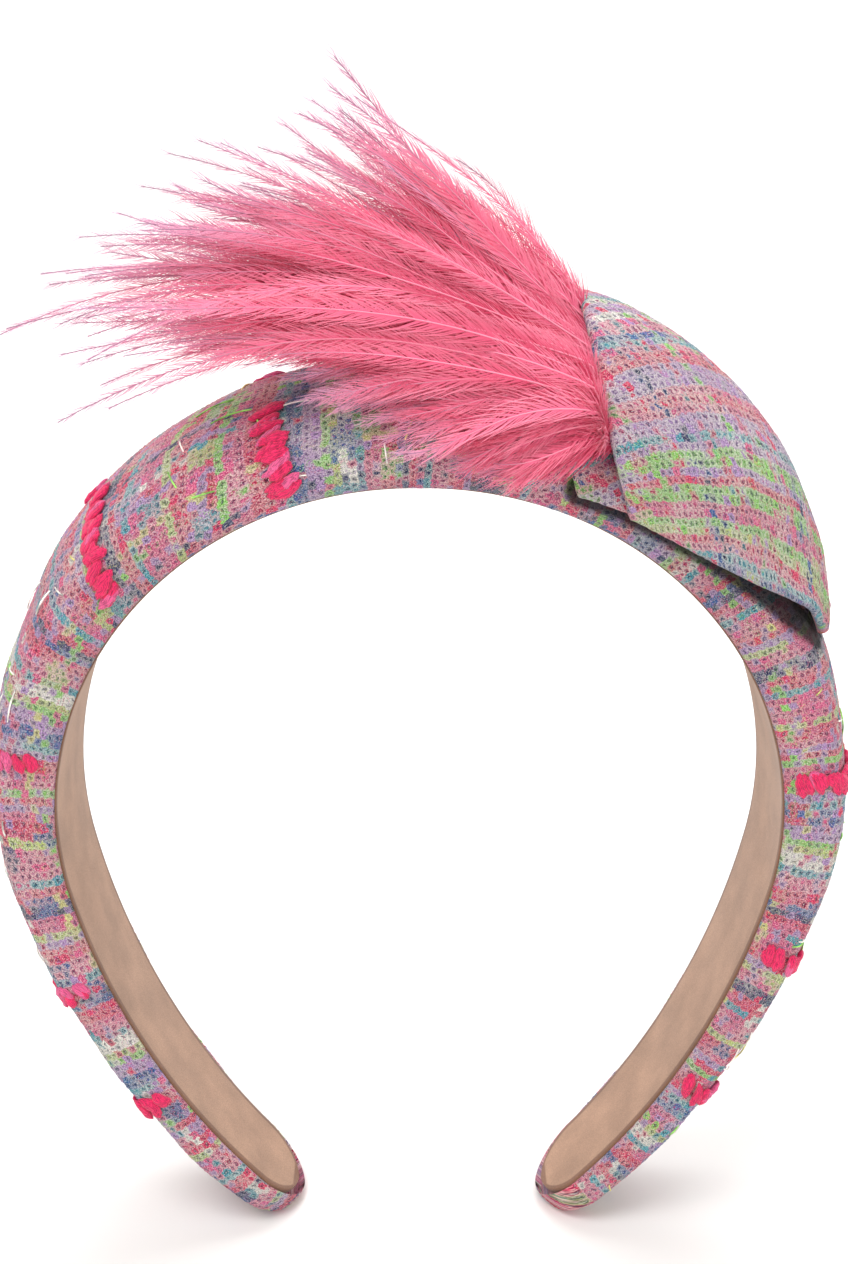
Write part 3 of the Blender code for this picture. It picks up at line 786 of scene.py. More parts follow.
def tweed(name, weft, warp, net, cloth):
    """Chain-knit tweed of soft boucle yarns: coloured yarns inside a net of cream loops.

    One stitch is 1.25 mm. Stripes of one yarn cross the cloth, other yarns show between them,
    and matt fibres leave fine specks and almost no gloss. The net is how much of the yarns the
    cream loops cover, at least and at most.
    """
    material, tree, shader = new_material(name, 0.90, sheen=0.12, specular=0.2)
    # The cloth attribute holds stripe, thread and the painted shade under the petals' hems
    given = add(tree, "ShaderNodeAttribute", attribute_name="cloth").outputs["Vector"]
    cloth_place = add(tree, VECTOR, (given, (1.0, 1.0, 0.0)), operation="MULTIPLY").outputs[0]
    # Uneven spinning shifts the loops by a sixth of a stitch, and loose fibres fray their edges
    uneven = add(tree, "ShaderNodeTexNoise", {"Vector": cloth_place, "Scale": 1.3, "Detail": 1.0})
    fibre = add(tree, "ShaderNodeTexNoise", {"Vector": cloth_place, "Scale": 6.0, "Detail": 3.0,
                                             "Roughness": 0.7})
    moved = cloth_place
    for noise, amount in ((uneven, 0.9), (fibre, 0.8)):
        shift = add(tree, VECTOR, (noise.outputs["Color"], (0.5, 0.5, 0.5)),
                    operation="SUBTRACT")
        shift = add(tree, VECTOR, {0: shift, 3: amount}, operation="SCALE")
        moved = add(tree, VECTOR, (moved, shift), operation="ADD")
    spot = add(tree, "ShaderNodeSeparateXYZ", (moved,))
    stripe, thread = spot.outputs["X"], spot.outputs["Y"]
    column = add(tree, MATH, (stripe,), operation="FLOOR")
    brick = add(tree, MATH, (add(tree, MATH, (column, 0.5), operation="MULTIPLY"),),
                operation="FRACT")
    shifted = add(tree, MATH, (thread, brick), operation="ADD")
    row = add(tree, MATH, (shifted,), operation="FLOOR")
    chance = add(tree, "ShaderNodeTexWhiteNoise",
                 (add(tree, "ShaderNodeCombineXYZ", (column, row, 0.0)),))
    picks = add(tree, "ShaderNodeSeparateColor", (chance.outputs["Color"],))
    # Distance from the middle of the stitch
    off = [add(tree, MATH, (add(tree, MATH, (line,), operation="FRACT"), 0.5),
               operation="SUBTRACT") for line in (stripe, shifted)]
    reach = add(tree, VECTOR, (add(tree, "ShaderNodeCombineXYZ", off),),
                operation="LENGTH").outputs["Value"]
    # Yarn of the stitch: the stripe's, a crossing thread's or that of a small block
    charts = []
    for cell, letters in ((column, weft), (row, warp)):
        turn = add(tree, MATH, (cell, 1.0 / len(letters), 0.5 / len(letters)),
                   operation="MULTIPLY_ADD")
        ramp = add(tree, "ShaderNodeValToRGB", (add(tree, MATH, (turn,), operation="FRACT"),))
        chart(ramp.color_ramp, letters, cloth)
        charts.append(ramp)

    def laid(amount, under, over, blend="MIX"):
        """One yarn laid over another by an amount."""
        return add(tree, MIX, {0: amount, 6: under, 7: over}, data_type="RGBA",
                   blend_type=blend).outputs[2]

    def beyond(value, limit):
        """One where a value passes a limit."""
        return add(tree, MATH, (value, limit), operation="GREATER_THAN")

    yarn = laid(beyond(picks.outputs["Red"], 0.68), charts[0], charts[1])
    patch = [add(tree, MATH, (add(tree, MATH, (cell, 3.0), operation="DIVIDE"),),
                 operation="FLOOR") for cell in (column, row)]
    patch_chance = add(tree, "ShaderNodeTexWhiteNoise",
                       (add(tree, "ShaderNodeCombineXYZ", (patch[0], patch[1], 7.0)),))
    patch_picks = add(tree, "ShaderNodeSeparateColor", (patch_chance.outputs["Color"],))
    patch_ramp = add(tree, "ShaderNodeValToRGB", (patch_picks.outputs["Green"],))
    chart(patch_ramp.color_ramp, BLOCKS, cloth)
    patched = add(tree, MATH, (beyond(patch_picks.outputs["Red"], 0.88),
                               beyond(picks.outputs["Blue"], 0.20)), operation="MULTIPLY")
    yarn = laid(patched, yarn, patch_ramp)
    # A second ply of the crossing colour twisted through the yarn, a third of a stitch wide
    ply = add(tree, "ShaderNodeTexNoise", {"Vector": cloth_place, "Scale": 3.1, "Detail": 2.0,
                                           "Roughness": 0.6})
    yarn = laid(add(tree, "ShaderNodeMapRange", (ply.outputs["Fac"], 0.52, 0.60, 0.0, 0.55)),
                yarn, charts[1])
    # A dark eye in the middle of most stitches, where the loop leaves a hole: navy yarn mixed in
    # and painted shade in the hole
    deep = laid(0.60, yarn, (*cloth.navy, 1.0))
    deep = laid(1.0, deep, (0.52, 0.52, 0.52, 1.0), "MULTIPLY")
    eye = add(tree, "ShaderNodeMapRange", (reach, 0.12, 0.31, 1.0, 0.0))
    often = add(tree, "ShaderNodeMapRange", (picks.outputs["Green"], 0.10, 0.50, 0.1, 1.0))
    yarn = laid(add(tree, MATH, (eye, often), operation="MULTIPLY"), yarn, deep)
    # The cream loop round the eye, thicker in some parts of the cloth than in others
    tone = add(tree, "ShaderNodeTexNoise", {
        "Vector": add(tree, VECTOR, {0: cloth_place, 3: 0.16}, operation="SCALE"),
        "Scale": 1.0, "Detail": 2.0})
    cover = add(tree, "ShaderNodeMapRange", (tone.outputs["Fac"], 0.40, 0.58, *net))
    loop = add(tree, MATH, (add(tree, "ShaderNodeMapRange", (reach, 0.24, 0.36, 0.0, 1.0)),
                            add(tree, "ShaderNodeMapRange", (reach, 0.46, 0.62, 1.0, 0.25))),
               operation="MULTIPLY")
    loop = add(tree, MATH, (loop, beyond(picks.outputs["Blue"], 0.14)), operation="MULTIPLY")
    yarn = laid(add(tree, MATH, (loop, cover), operation="MULTIPLY"), yarn,
                laid(0.40, (*cloth.cream, 1.0), charts[0]))
    # Fibres: light specks and dark gaps a fifth of a millimetre wide
    yarn = laid(add(tree, "ShaderNodeMapRange", (fibre.outputs["Fac"], 0.53, 0.64, 0.0, 0.78)),
                yarn, (*cloth.cream, 1.0))
    shade = add(tree, "ShaderNodeMapRange", (fibre.outputs["Fac"], 0.37, 0.51, 0.26, 1.0))
    # Painted shade where the cloth lies under the petals' hems, darkest next to them
    painted_shade = add(tree, "ShaderNodeMapRange",
               (add(tree, "ShaderNodeSeparateXYZ", (given,)).outputs["Z"], 0.0, 1.0, 1.0, 0.10))
    shade = add(tree, MATH, (shade, painted_shade), operation="MULTIPLY")
    yarn = laid(1.0, yarn, add(tree, "ShaderNodeCombineColor", (shade, shade, shade)),
                "MULTIPLY")
    tree.links.new(yarn, shader.inputs["Base Color"])
    height = add(tree, MATH, (loop, 0.7, fibre.outputs["Fac"]), operation="MULTIPLY_ADD")
    bump = add(tree, "ShaderNodeBump", {"Height": height, "Strength": 0.8,
                                        "Distance": 0.4 * MM})
    tree.links.new(bump.outputs[0], shader.inputs["Normal"])
    return material


def suede_lining(cloth):
    """Suede ribbon: matt split leather with a short nap, glued down, its cut edge darker."""
    material, tree, shader = new_material("suede_split_leather", 0.95, sheen=0.25, specular=0.2)
    spot = add(tree, "ShaderNodeSeparateXYZ",
               (add(tree, "ShaderNodeAttribute", attribute_name="ribbon").outputs["Vector"],))
    where = add(tree, "ShaderNodeTexCoord").outputs["Object"]
    # Nap: fibres about a quarter of a millimetre, and softer cloudy wear 8 mm across
    nap = add(tree, "ShaderNodeTexNoise", {"Vector": where, "Scale": 3800.0, "Detail": 2.0})
    cloud = add(tree, "ShaderNodeTexNoise", {"Vector": where, "Scale": 130.0, "Detail": 3.0})
    tone = add(tree, "ShaderNodeMapRange", (cloud.outputs["Fac"], 0.3, 0.7, 0.84, 1.10))
    grain = add(tree, "ShaderNodeMapRange", (nap.outputs["Fac"], 0.3, 0.7, 0.82, 1.12))
    both = add(tree, MATH, (tone, grain), operation="MULTIPLY")
    edge = add(tree, "ShaderNodeMapRange", (spot.outputs["Y"], 1.1 * MM, 1.6 * MM, 1.0, 0.0),
               interpolation_type="SMOOTHSTEP")
    base = add(tree, MIX, {0: edge, 6: (*cloth.suede, 1.0), 7: (*cloth.suede_edge, 1.0)},
               data_type="RGBA")
    tint = add(tree, "ShaderNodeCombineColor", (both, both, both))
    final = add(tree, MIX, {0: 1.0, 6: base.outputs[2], 7: tint}, data_type="RGBA",
                blend_type="MULTIPLY")
    tree.links.new(final.outputs[2], shader.inputs["Base Color"])
    bump = add(tree, "ShaderNodeBump", {"Height": nap.outputs["Fac"], "Strength": 0.5,
                                        "Distance": 0.12 * MM})
    tree.links.new(bump.outputs[0], shader.inputs["Normal"])
    return material


def yarn_finish(name):
    """Loosely spun yarn: soft matt fibres that take their colour from each slub or thread."""
    material, tree, shader = new_material(name, 0.90, sheen=0.25, specular=0.2)
    tint = add(tree, "ShaderNodeAttribute", attribute_name="tint")
    where = add(tree, VECTOR, {0: add(tree, "ShaderNodeTexCoord").outputs["Object"], 3: 300.0},
                operation="SCALE")
    # Fibres a fifteenth of the slub's width, drawn coarser than real ones and out along it
    spun = add(tree, VECTOR, (add(tree, "ShaderNodeAttribute", attribute_name="spin")
                              .outputs["Vector"], (3.0, 15.0, 15.0)), operation="MULTIPLY")
    fibre = add(tree, "ShaderNodeTexNoise", {
        "Vector": add(tree, VECTOR, (where, spun), operation="ADD"), "Scale": 1.0,
        "Detail": 3.0, "Roughness": 0.65})
    shade = add(tree, "ShaderNodeMapRange", (fibre.outputs["Fac"], 0.36, 0.62, 0.40, 1.40))
    grey = add(tree, "ShaderNodeCombineColor", (shade, shade, shade))
    final = add(tree, MIX, {0: 1.0, 6: tint.outputs["Color"], 7: grey}, data_type="RGBA",
                blend_type="MULTIPLY")
    tree.links.new(final.outputs[2], shader.inputs["Base Color"])
    bump = add(tree, "ShaderNodeBump", {"Height": fibre.outputs["Fac"], "Strength": 0.8,
                                        "Distance": 0.25 * MM})
    tree.links.new(bump.outputs[0], shader.inputs["Normal"])
    return material


def dyed_feather(plume):
    """Dyed ostrich feather: fine soft barbs, lighter at their ends, lilac towards the tips."""
    material, tree, shader = new_material("dyed_ostrich_feather", 0.62, sheen=0.30,
                                          specular=0.35)
    barb = add(tree, "ShaderNodeAttribute", attribute_name="barb").outputs["Fac"]
    run = add(tree, "ShaderNodeAttribute", attribute_name="run").outputs["Fac"]
    shade = add(tree, "ShaderNodeAttribute", attribute_name="shade").outputs["Fac"]
    light = add(tree, "ShaderNodeMapRange", (barb, 0.0, 0.85, 0.0, 1.0))
    vane = add(tree, MIX, {0: light, 6: (*plume.body, 1.0), 7: (*plume.highlight, 1.0)},
               data_type="RGBA")
    # Painted shade in part: strands with a low shade value, inside the plume and near their roots,
    # lean to the deep colour
    depth = add(tree, "ShaderNodeMapRange", (shade, 0.1, 0.9, 0.85, 0.0))
    vane = add(tree, MIX, {0: depth, 6: vane.outputs[2], 7: (*plume.deep, 1.0)},
               data_type="RGBA")
    fade = add(tree, "ShaderNodeMapRange", (run, 0.70, 1.0, 0.0, 0.9))
    vane = add(tree, MIX, {0: fade, 6: vane.outputs[2], 7: (*plume.tip, 1.0)},
               data_type="RGBA")
    stem = add(tree, "ShaderNodeMapRange", (run, 0.55, 0.95, 0.0, 0.9))
    quill = add(tree, MIX, {0: stem, 6: (*plume.highlight, 1.0), 7: (*plume.stem, 1.0)},
                data_type="RGBA")
    is_quill = add(tree, MATH, (barb, -0.5), operation="LESS_THAN")
    final = add(tree, MIX, {0: is_quill, 6: vane.outputs[2], 7: quill.outputs[2]},
                data_type="RGBA")
    tree.links.new(final.outputs[2], shader.inputs["Base Color"])
    return material


def feather_down(plume):
    """Crimson down inside the plume, drawn out in streaks along each lock."""
    material, tree, shader = new_material("dyed_feather_down", 0.80, sheen=0.30, specular=0.2)
    spot = add(tree, "ShaderNodeAttribute", attribute_name="lock").outputs["Vector"]
    # Streaks a third of a millimetre wide and about 6 mm long
    stretched = add(tree, VECTOR, (spot, (160.0, 2800.0, 2800.0)), operation="MULTIPLY")
    streak = add(tree, "ShaderNodeTexNoise", {"Vector": stretched, "Scale": 1.0,
                                              "Detail": 3.0})
    share = add(tree, "ShaderNodeMapRange", (streak.outputs["Fac"], 0.36, 0.64, 0.0, 0.85))
    final = add(tree, MIX, {0: share, 6: (*plume.deep, 1.0), 7: (*plume.body, 1.0)},
                data_type="RGBA")
    tree.links.new(final.outputs[2], shader.inputs["Base Color"])
    bump = add(tree, "ShaderNodeBump", {"Height": streak.outputs["Fac"], "Strength": 0.9,
                                        "Distance": 0.5 * MM})
    tree.links.new(bump.outputs[0], shader.inputs["Normal"])
    return material


class HEADBAND_OT_lining(bpy.types.Operator):
    """Make the suede ribbon on the inside of the band"""

    bl_idname = "headband.lining"
    bl_label = "Suede lining"

    def execute(self, context):
        cloth = context.scene.headband_cloth
        rng = np.random.default_rng(11)
        along = rows_along(HALF_LENGTH, LINING_END_RADIUS, 2.0 * MM, 12)
        width = section(along)[0] * end_rounding(along, HALF_LENGTH, LINING_END_RADIUS)
        soft = np.minimum(0.5 * MM, 0.3 * width)
        corner = np.radians(np.linspace(0.0, 90.0, 4))
        low_left = [(-width + soft - soft * np.sin(a), soft - soft * np.cos(a)) for a in corner]
        high_left = [(-width + soft - soft * np.cos(a), LINING_THICKNESS - soft + soft * np.sin(a))
                     for a in corner]
        back = [((width - soft) * share, np.full_like(width, LINING_THICKNESS))
                for share in np.linspace(-1.0, 1.0, 9)[1:-1]]
        front = [((width - soft) * share, np.zeros_like(width))
                 for share in np.linspace(1.0, -1.0, 21)[1:-1]]
        left = low_left + high_left
        right = [(-across, height) for across, height in left[::-1]]
        outline = left + back + right + front
        across = np.stack([item[0] for item in outline], axis=1)
        height = np.stack([item[1] for item in outline], axis=1)
        wave = waves(rng, along[:, None], across, 14.0 * MM, 40.0 * MM) * 0.10 * MM
        inside = np.clip((width[:, None] - np.abs(across)) / (3.0 * MM), 0.0, 1.0)
        height = np.where(height < 0.5 * LINING_THICKNESS, height + wave * inside, height)
        piece = tube("suede_ribbon", place(along[:, None], across, height),
                     suede_lining(cloth))
        rim = np.where(height > 0.6 * MM, 0.0, width[:, None] - np.abs(across))
        past = np.maximum(HALF_LENGTH - np.abs(along), 0.0)[:, None] + 0.0 * across
        rim = np.minimum(rim, past)
        ribbon = np.stack((along[:, None] + 0.0 * across, rim, 0.0 * across), axis=-1)
        store(piece.data, "ribbon", "FLOAT_VECTOR", ribbon)
        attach(piece, "root")
        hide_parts("lining")
        return {"FINISHED"}


class HEADBAND_OT_padding(bpy.types.Operator):
    """Make the tweed-covered padding of the band"""

    bl_idname = "headband.padding"
    bl_label = "Tweed padding"

    def execute(self, context):
        cloth = context.scene.headband_cloth
        rng = np.random.default_rng(21)
        end, radius = HALF_LENGTH + PADDING_OVERHANG, LINING_END_RADIUS + PADDING_OVERHANG
        along = rows_along(end, radius, 0.4 * cloth.stitch, 24)
        fine, under = CLOTH_POINTS, UNDERSIDE_POINTS
        across = np.zeros((len(along), fine + under))
        height = np.full_like(across, PADDING_BASE)
        over = np.zeros_like(across)
        for number, station in enumerate(along):
            side, up, run, seat = padding_outline(station, fine)
            across[number, :fine], height[number, :fine], over[number, :fine] = side, up, run
            across[number, fine:] = seat * np.linspace(1.0, -1.0, under)
            over[number, fine:] = run[-1]
        points = place(along[:, None], across, height)
        stripe, thread = band_cloth(along[:, None], over, cloth.stitch, rng)
        down = np.gradient(points, axis=0)
        round_way = np.roll(points, -1, axis=1) - np.roll(points, 1, axis=1)
        normal = unit(np.cross(down, round_way))
        if np.sum((points - points.mean(axis=1, keepdims=True)) * normal) < 0.0:
            normal = -normal
        swell = cloth.lumps * waves(rng, along[:, None], over, 10.0 * MM, 32.0 * MM)
        relief = cloth.relief * (net_relief(stripe, thread) - 0.5)
        rim = np.clip((0.5 * (over[:, fine - 1] - over[:, 0])[:, None] - np.abs(over))
                      / (0.9 * MM), 0.0, 1.0)
        points = points + normal * ((swell + relief) * rim)[..., None]
        points[..., 2] = np.maximum(points[..., 2], 0.0)
        # Painted shade: nearness to the petals' hems, kept as the cloth's third value
        down_hem = np.linspace(0.02, 0.97, HEM_POINTS)
        hem = np.concatenate([petal_point(petal, down_hem, np.full(HEM_POINTS, v), SEAT_GAP)
                              for petal in (LOWER_PETAL, UPPER_PETAL) for v in (-1.0, 1.0)])
        away = np.full(stripe.shape, 1.0)
        for spot in hem:
            away = np.minimum(away, np.linalg.norm(points - spot, axis=2))
        painted_shade = np.clip(1.0 - (away - PAINTED_SHADE_REACH) / PAINTED_SHADE_FADE, 0.0, 1.0)
        piece = tube("tweed_padding", points,
                     tweed("chain_knit_tweed", BAND_WEFT, BAND_WARP, (0.20, 0.78), cloth))
        store(piece.data, "cloth", "FLOAT_VECTOR",
              np.stack((stripe, thread, painted_shade), axis=-1))
        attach(piece, "root")
        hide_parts("padded_band")
        return {"FINISHED"}


class HEADBAND_OT_petals(bpy.types.Operator):
    """Make the two petals of the pouch"""

    bl_idname = "headband.petals"
    bl_label = "Petal pouch"

    def execute(self, context):
        cloth = context.scene.headband_cloth
        rng = np.random.default_rng(31)
        finish = tweed("chain_knit_tweed_on_the_cross", PETAL_WEFT, PETAL_WARP, (0.50, 1.0),
                       cloth)
        for name, petal, lifts, first_stripe, node, fill in (
                ("petal_under", LOWER_PETAL, lower_lift, -9, "lower_petal", 0.3),
                ("petal_over", UPPER_PETAL, upper_lift, 0, "upper_petal", 0.5)):
            piece = petal_shell(name, petal, lifts, first_stripe, cloth, finish, rng)
            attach(piece, "root")
            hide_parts(node)
        return {"FINISHED"}


class HEADBAND_OT_slubs(bpy.types.Operator):
    """Make the tufts of loose yarn and the threads that lie over the cloth"""

    bl_idname = "headband.slubs"
    bl_label = "Slubs and threads"

    def execute(self, context):
        cloth = context.scene.headband_cloth
        rng = np.random.default_rng(41)
        spots, headings, lifts, sizes, tints = [], [], [], [], []
        for (start, end), (first, last), count, length, width in TUFTS:
            for number in range(PLIES * count):
                share = (number // PLIES + 0.5) / count
                turn = first + (last - first) * share + rng.uniform(-0.035, 0.035)
                at = (start + (end - start) * share + rng.uniform(-0.8, 0.8)) * MM
                spot = cloth_point(np.array(at), turn, 0.45 * MM)
                above = cloth_point(np.array(at), turn, 1.45 * MM)
                ahead = cloth_point(np.array(at + 1.0 * MM), turn, 0.45 * MM)
                aside = cloth_point(np.array(at), turn + 0.03, 0.45 * MM)
                lean = rng.normal(0.28, 0.16)
                spots.append(spot)
                headings.append(unit(ahead - spot) * math.cos(lean)
                                + unit(aside - spot) * math.sin(lean))
                lifts.append(unit(above - spot))
                sizes.append((length * rng.uniform(0.70, 1.05) * MM,
                              0.82 * width * rng.uniform(0.7, 1.2) * MM,
                              0.64 * width * rng.uniform(0.7, 1.1) * MM))
                mood = rng.uniform(0.0, 1.0)
                tint = cloth.hot_pink if mood < 0.78 else cloth.pink
                tints.append((*tint, 1.0))
        fields = {"heading": ("FLOAT_VECTOR", headings), "lift": ("FLOAT_VECTOR", lifts),
                  "size": ("FLOAT_VECTOR", sizes), "tint": ("FLOAT_COLOR", tints)}
        slubs = grow("yarn_slubs", slub_tree(), spots, [], fields,
                     {"Unevenness": 0.22}, yarn_finish("boucle_slub_yarn"))
        lines, links, shades = [], [], []
        for _ in range(LOOSE_THREADS):
            at = rng.uniform(-190.0, 190.0) * MM
            turn = rng.uniform(-1.0, 0.9)
            if LOWER_PETAL[0] - 5.0 * MM < at < UPPER_PETAL[2] + 4.0 * MM:
                continue
            heading = rng.choice((0.0, math.pi / 2)) + rng.uniform(-0.25, 0.25)
            length = rng.uniform(2.5, 6.5) * MM
            steps = np.linspace(-0.5, 0.5, 7)
            reach = section(np.array(at))[1] * math.pi / 2
            run = at + steps * length * math.cos(heading)
            sweep = turn + steps * length * math.sin(heading) / reach
            lift = (0.10 + 0.32 * np.cos(math.pi * steps)) * MM
            first = len(lines)
            lines.extend(skin_point(run, np.clip(sweep, -1.05, 1.05), lift))
            links.extend((first + k, first + k + 1) for k in range(len(steps) - 1))
            tint = (cloth.cream, cloth.cream, cloth.yellow, cloth.lime)[rng.integers(4)]
            shades.extend([(*tint, 1.0)] * len(steps))
        threads = grow("net_threads", thread_tree(), lines, links,
                       {"tint": ("FLOAT_COLOR", shades)}, {"Radius": 0.15 * MM},
                       yarn_finish("cotton_net_thread"))
        for piece in (slubs, threads):
            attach(piece, "root")
        return {"FINISHED"}


def pouch_ceiling(along, turn):
    """Highest lift that stays under the upper petal, opening up in front of its mouth."""
    v = np.minimum(np.abs(turn), 1.0)
    start = UPPER_PETAL[0] + UPPER_PETAL[1] * v * v
    u = np.maximum((along - start) / (UPPER_PETAL[2] - start), 0.0)
    opening = np.maximum(start - 0.5 * MM - along, 0.0) * 2.0
    return upper_lift(u, v)[0] - 0.4 * MM + opening


def strand_path(row, root_lift, steps, span=1.0):
    """Line of one strand out of the pouch, up to a share of a lock's whole length."""
    reach, rise, root_turn, tip_turn = row
    t = span * np.linspace(0.0, 1.0, steps)
    along = PLUME_ROOT - PLUME_REACH * reach * t
    turn = root_turn + (tip_turn - root_turn) * t ** 0.8
    # The lower a strand lies, the later it lifts off the band
    lift = root_lift + (PLUME_RISE * rise - root_lift) * t ** (2.6 - 0.9 * rise)
    lift = np.minimum(lift, pouch_ceiling(along, turn))
    lift = np.maximum(lift, POUCH_FLOOR + 0.4 * MM)
    return t, along, turn, lift


class HEADBAND_OT_plume(bpy.types.Operator):
    """Make the down inside the plume and the feather strands over it"""

    bl_idname = "headband.plume"
    bl_label = "Feather plume"

    def execute(self, context):
        plume = context.scene.headband_plume
        rng = np.random.default_rng(51)
        self.down(plume)
        tree = feather_tree()
        finish = dyed_feather(plume)
        for number, (name, locks, share, *habit, spacing, slimness, closing) in enumerate(
                STRAND_GROUPS):
            strands = []
            count = int(share * plume.strands)
            for turn in range(count):
                # Spread evenly over the locks, with a little disorder
                pick = (turn + rng.uniform(0.0, 1.0)) / count * (len(locks) - 1)
                row = [np.interp(pick, np.arange(len(locks)), locks[:, k]) for k in range(4)]
                strands.append(self.strand(rng, row, plume, *habit))
            points, edges, fields = self.gather(strands)
            piece = grow(name, tree, points, edges, fields, {
                "Barb spacing": plume.barb_spacing * spacing, "Barb angle": plume.barb_angle,
                "Barb slimness": slimness, "Barb bend": 0.16, "Barb closing": closing,
                "Seed": 3 + number}, finish)
            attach(piece, "root")
        return {"FINISHED"}

    def strand(self, rng, row, plume, spans, light, loose):
        """Points of one strand with its side, barb length, quill radius, run and shade."""
        spread = 0.5 + 0.5 * loose
        row = (row[0] * np.clip(rng.normal(1.0, 0.03), 0.94, 1.02),
               row[1] * rng.normal(1.0, 0.05),
               max(row[2] - 0.12 * loose + rng.normal(0.0, 0.10), MOUTH_TURN),
               row[3] - 0.06 * loose + 0.12 * spread * np.clip(rng.normal(), -1.0, 1.6))
        root_lift = (rng.uniform(2.8, 8.0) + 2.5 * loose) * MM
        t, along, turn, lift = strand_path(row, root_lift, 26, rng.uniform(*spans))
        sway = rng.normal(0.0, spread, 4) * np.clip(2.5 * row[1], 0.3, 1.0) * MM
        phase = rng.uniform(0.0, 2.0 * math.pi)
        lift = lift + 3.4 * sway[0] * t * np.sin(math.pi * t)
        lift = lift + 4.2 * min(sway[1], 0.5 * MM) * t ** 3
        turn = turn + 0.09 * t * np.sin(4.0 * t + phase)
        along = along + (3.0 * sway[2] * np.sin(3.5 * t - phase) + 2.6 * sway[3] * t) * t ** 2
        points = skin_point(along, turn, np.maximum(lift, POUCH_FLOOR))
        # Strands that lean out at the front bend back before they stray too far
        stray = np.maximum(FRONT_LEAN - points[:, 1], 0.0)
        points[:, 1] += stray - FRONT_STRAY * np.tanh(stray / FRONT_STRAY)
        tangent = unit(np.gradient(points, axis=0))
        # The vane lies flat to the front or the back, give or take a roll
        front = -1.0 if row[3] < 0.18 else 1.0
        side = unit(np.cross(tangent, (0.0, front, 0.45)))
        up = np.cross(side, tangent)
        roll = rng.normal(0.0, 0.36 - 0.2 * loose) + 0.4 * t * rng.normal(0.0, 1.0)
        side = unit(side * np.cos(roll)[:, None] + up * np.sin(roll)[:, None])
        end = np.clip((t[-1] - t) / (0.40 * t[-1]), 0.0, 1.0)
        vane = plume.barb_length * rng.uniform(0.75, 1.15) * (0.44 + 0.56 * end ** 0.8)
        vane = vane * np.clip(0.40 + 2.4 * t, 0.0, 1.0)
        quill = (0.20 - 0.13 * t) * MM
        # A random part of the shade is the dye's own; darker towards the root and in the inner
        # groups, which is in part painted shade
        shade = light + rng.uniform(-0.30, 0.32) + 0.65 * t - 0.75 * np.exp(-t / 0.16)
        shade = np.clip(shade, 0.0, 1.0)
        return points, side, vane, quill, t, shade

    def gather(self, strands):
        """Joins strands into one set of points, edges and named fields."""
        points = np.concatenate([s[0] for s in strands])
        edges, first = [], 0
        for strand in strands:
            edges.extend((first + k, first + k + 1) for k in range(len(strand[0]) - 1))
            first += len(strand[0])
        kinds = ("FLOAT_VECTOR", "FLOAT", "FLOAT", "FLOAT", "FLOAT")
        fields = {name: (kind, np.concatenate([s[number + 1] for s in strands]))
                  for number, (name, kind) in enumerate(
                      zip(("side", "vane", "quill", "run", "shade"), kinds))}
        return points, edges, fields

    def down(self, plume):
        """One soft tapered lock of down inside each bundle of strands."""
        points, faces, fields = [], [], []
        steps, sides = 16, 12
        for number, row in enumerate(np.concatenate((FRONT_LOCKS, BACK_LOCKS[1:-1]))):
            _, along, turn, lift = strand_path(row, 5.2 * MM, steps, DOWN_SPAN)
            t = np.linspace(0.0, 1.0, steps)
            centre = skin_point(along, turn, lift)
            ground = skin_point(along, turn, 0.0 * lift)
            tangent = unit(np.gradient(centre, axis=0))
            side = unit(np.cross(tangent, centre - ground))
            up = np.cross(side, tangent)
            taper = np.sin(math.pi * (0.25 + 0.73 * t))
            width = 4.0 * MM * taper
            depth = np.minimum(3.0 * MM * taper, np.maximum(lift - LOWER_PETAL_TOP, 0.2 * MM))
            depth = np.minimum(depth, np.maximum(
                pouch_ceiling(along, turn) + 0.3 * MM - lift, 0.3 * MM))
            angle = np.linspace(0.0, 2.0 * math.pi, sides, endpoint=False)
            ring = (centre[:, None] + side[:, None] * (width[:, None] * np.cos(angle))[..., None]
                    + up[:, None] * (depth[:, None] * np.sin(angle))[..., None])
            first = len(points) * steps * sides
            points.append(ring.reshape(-1, 3))
            faces.extend([[first + k for k in face] for face in tube_faces(steps, sides)])
            lock = np.stack((along[:, None] + 0.0 * angle, width[:, None] * np.cos(angle),
                             0.01 * number + depth[:, None] * np.sin(angle)), axis=-1)
            fields.append(lock.reshape(-1, 3))
        mesh = bpy.data.meshes.new("plume_down")
        mesh.from_pydata(np.concatenate(points), [], faces)
        store(mesh, "lock", "FLOAT_VECTOR", np.concatenate(fields))
        piece = new_object("plume_down", mesh, feather_down(plume))
        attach(piece, "root")
        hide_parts("plume")


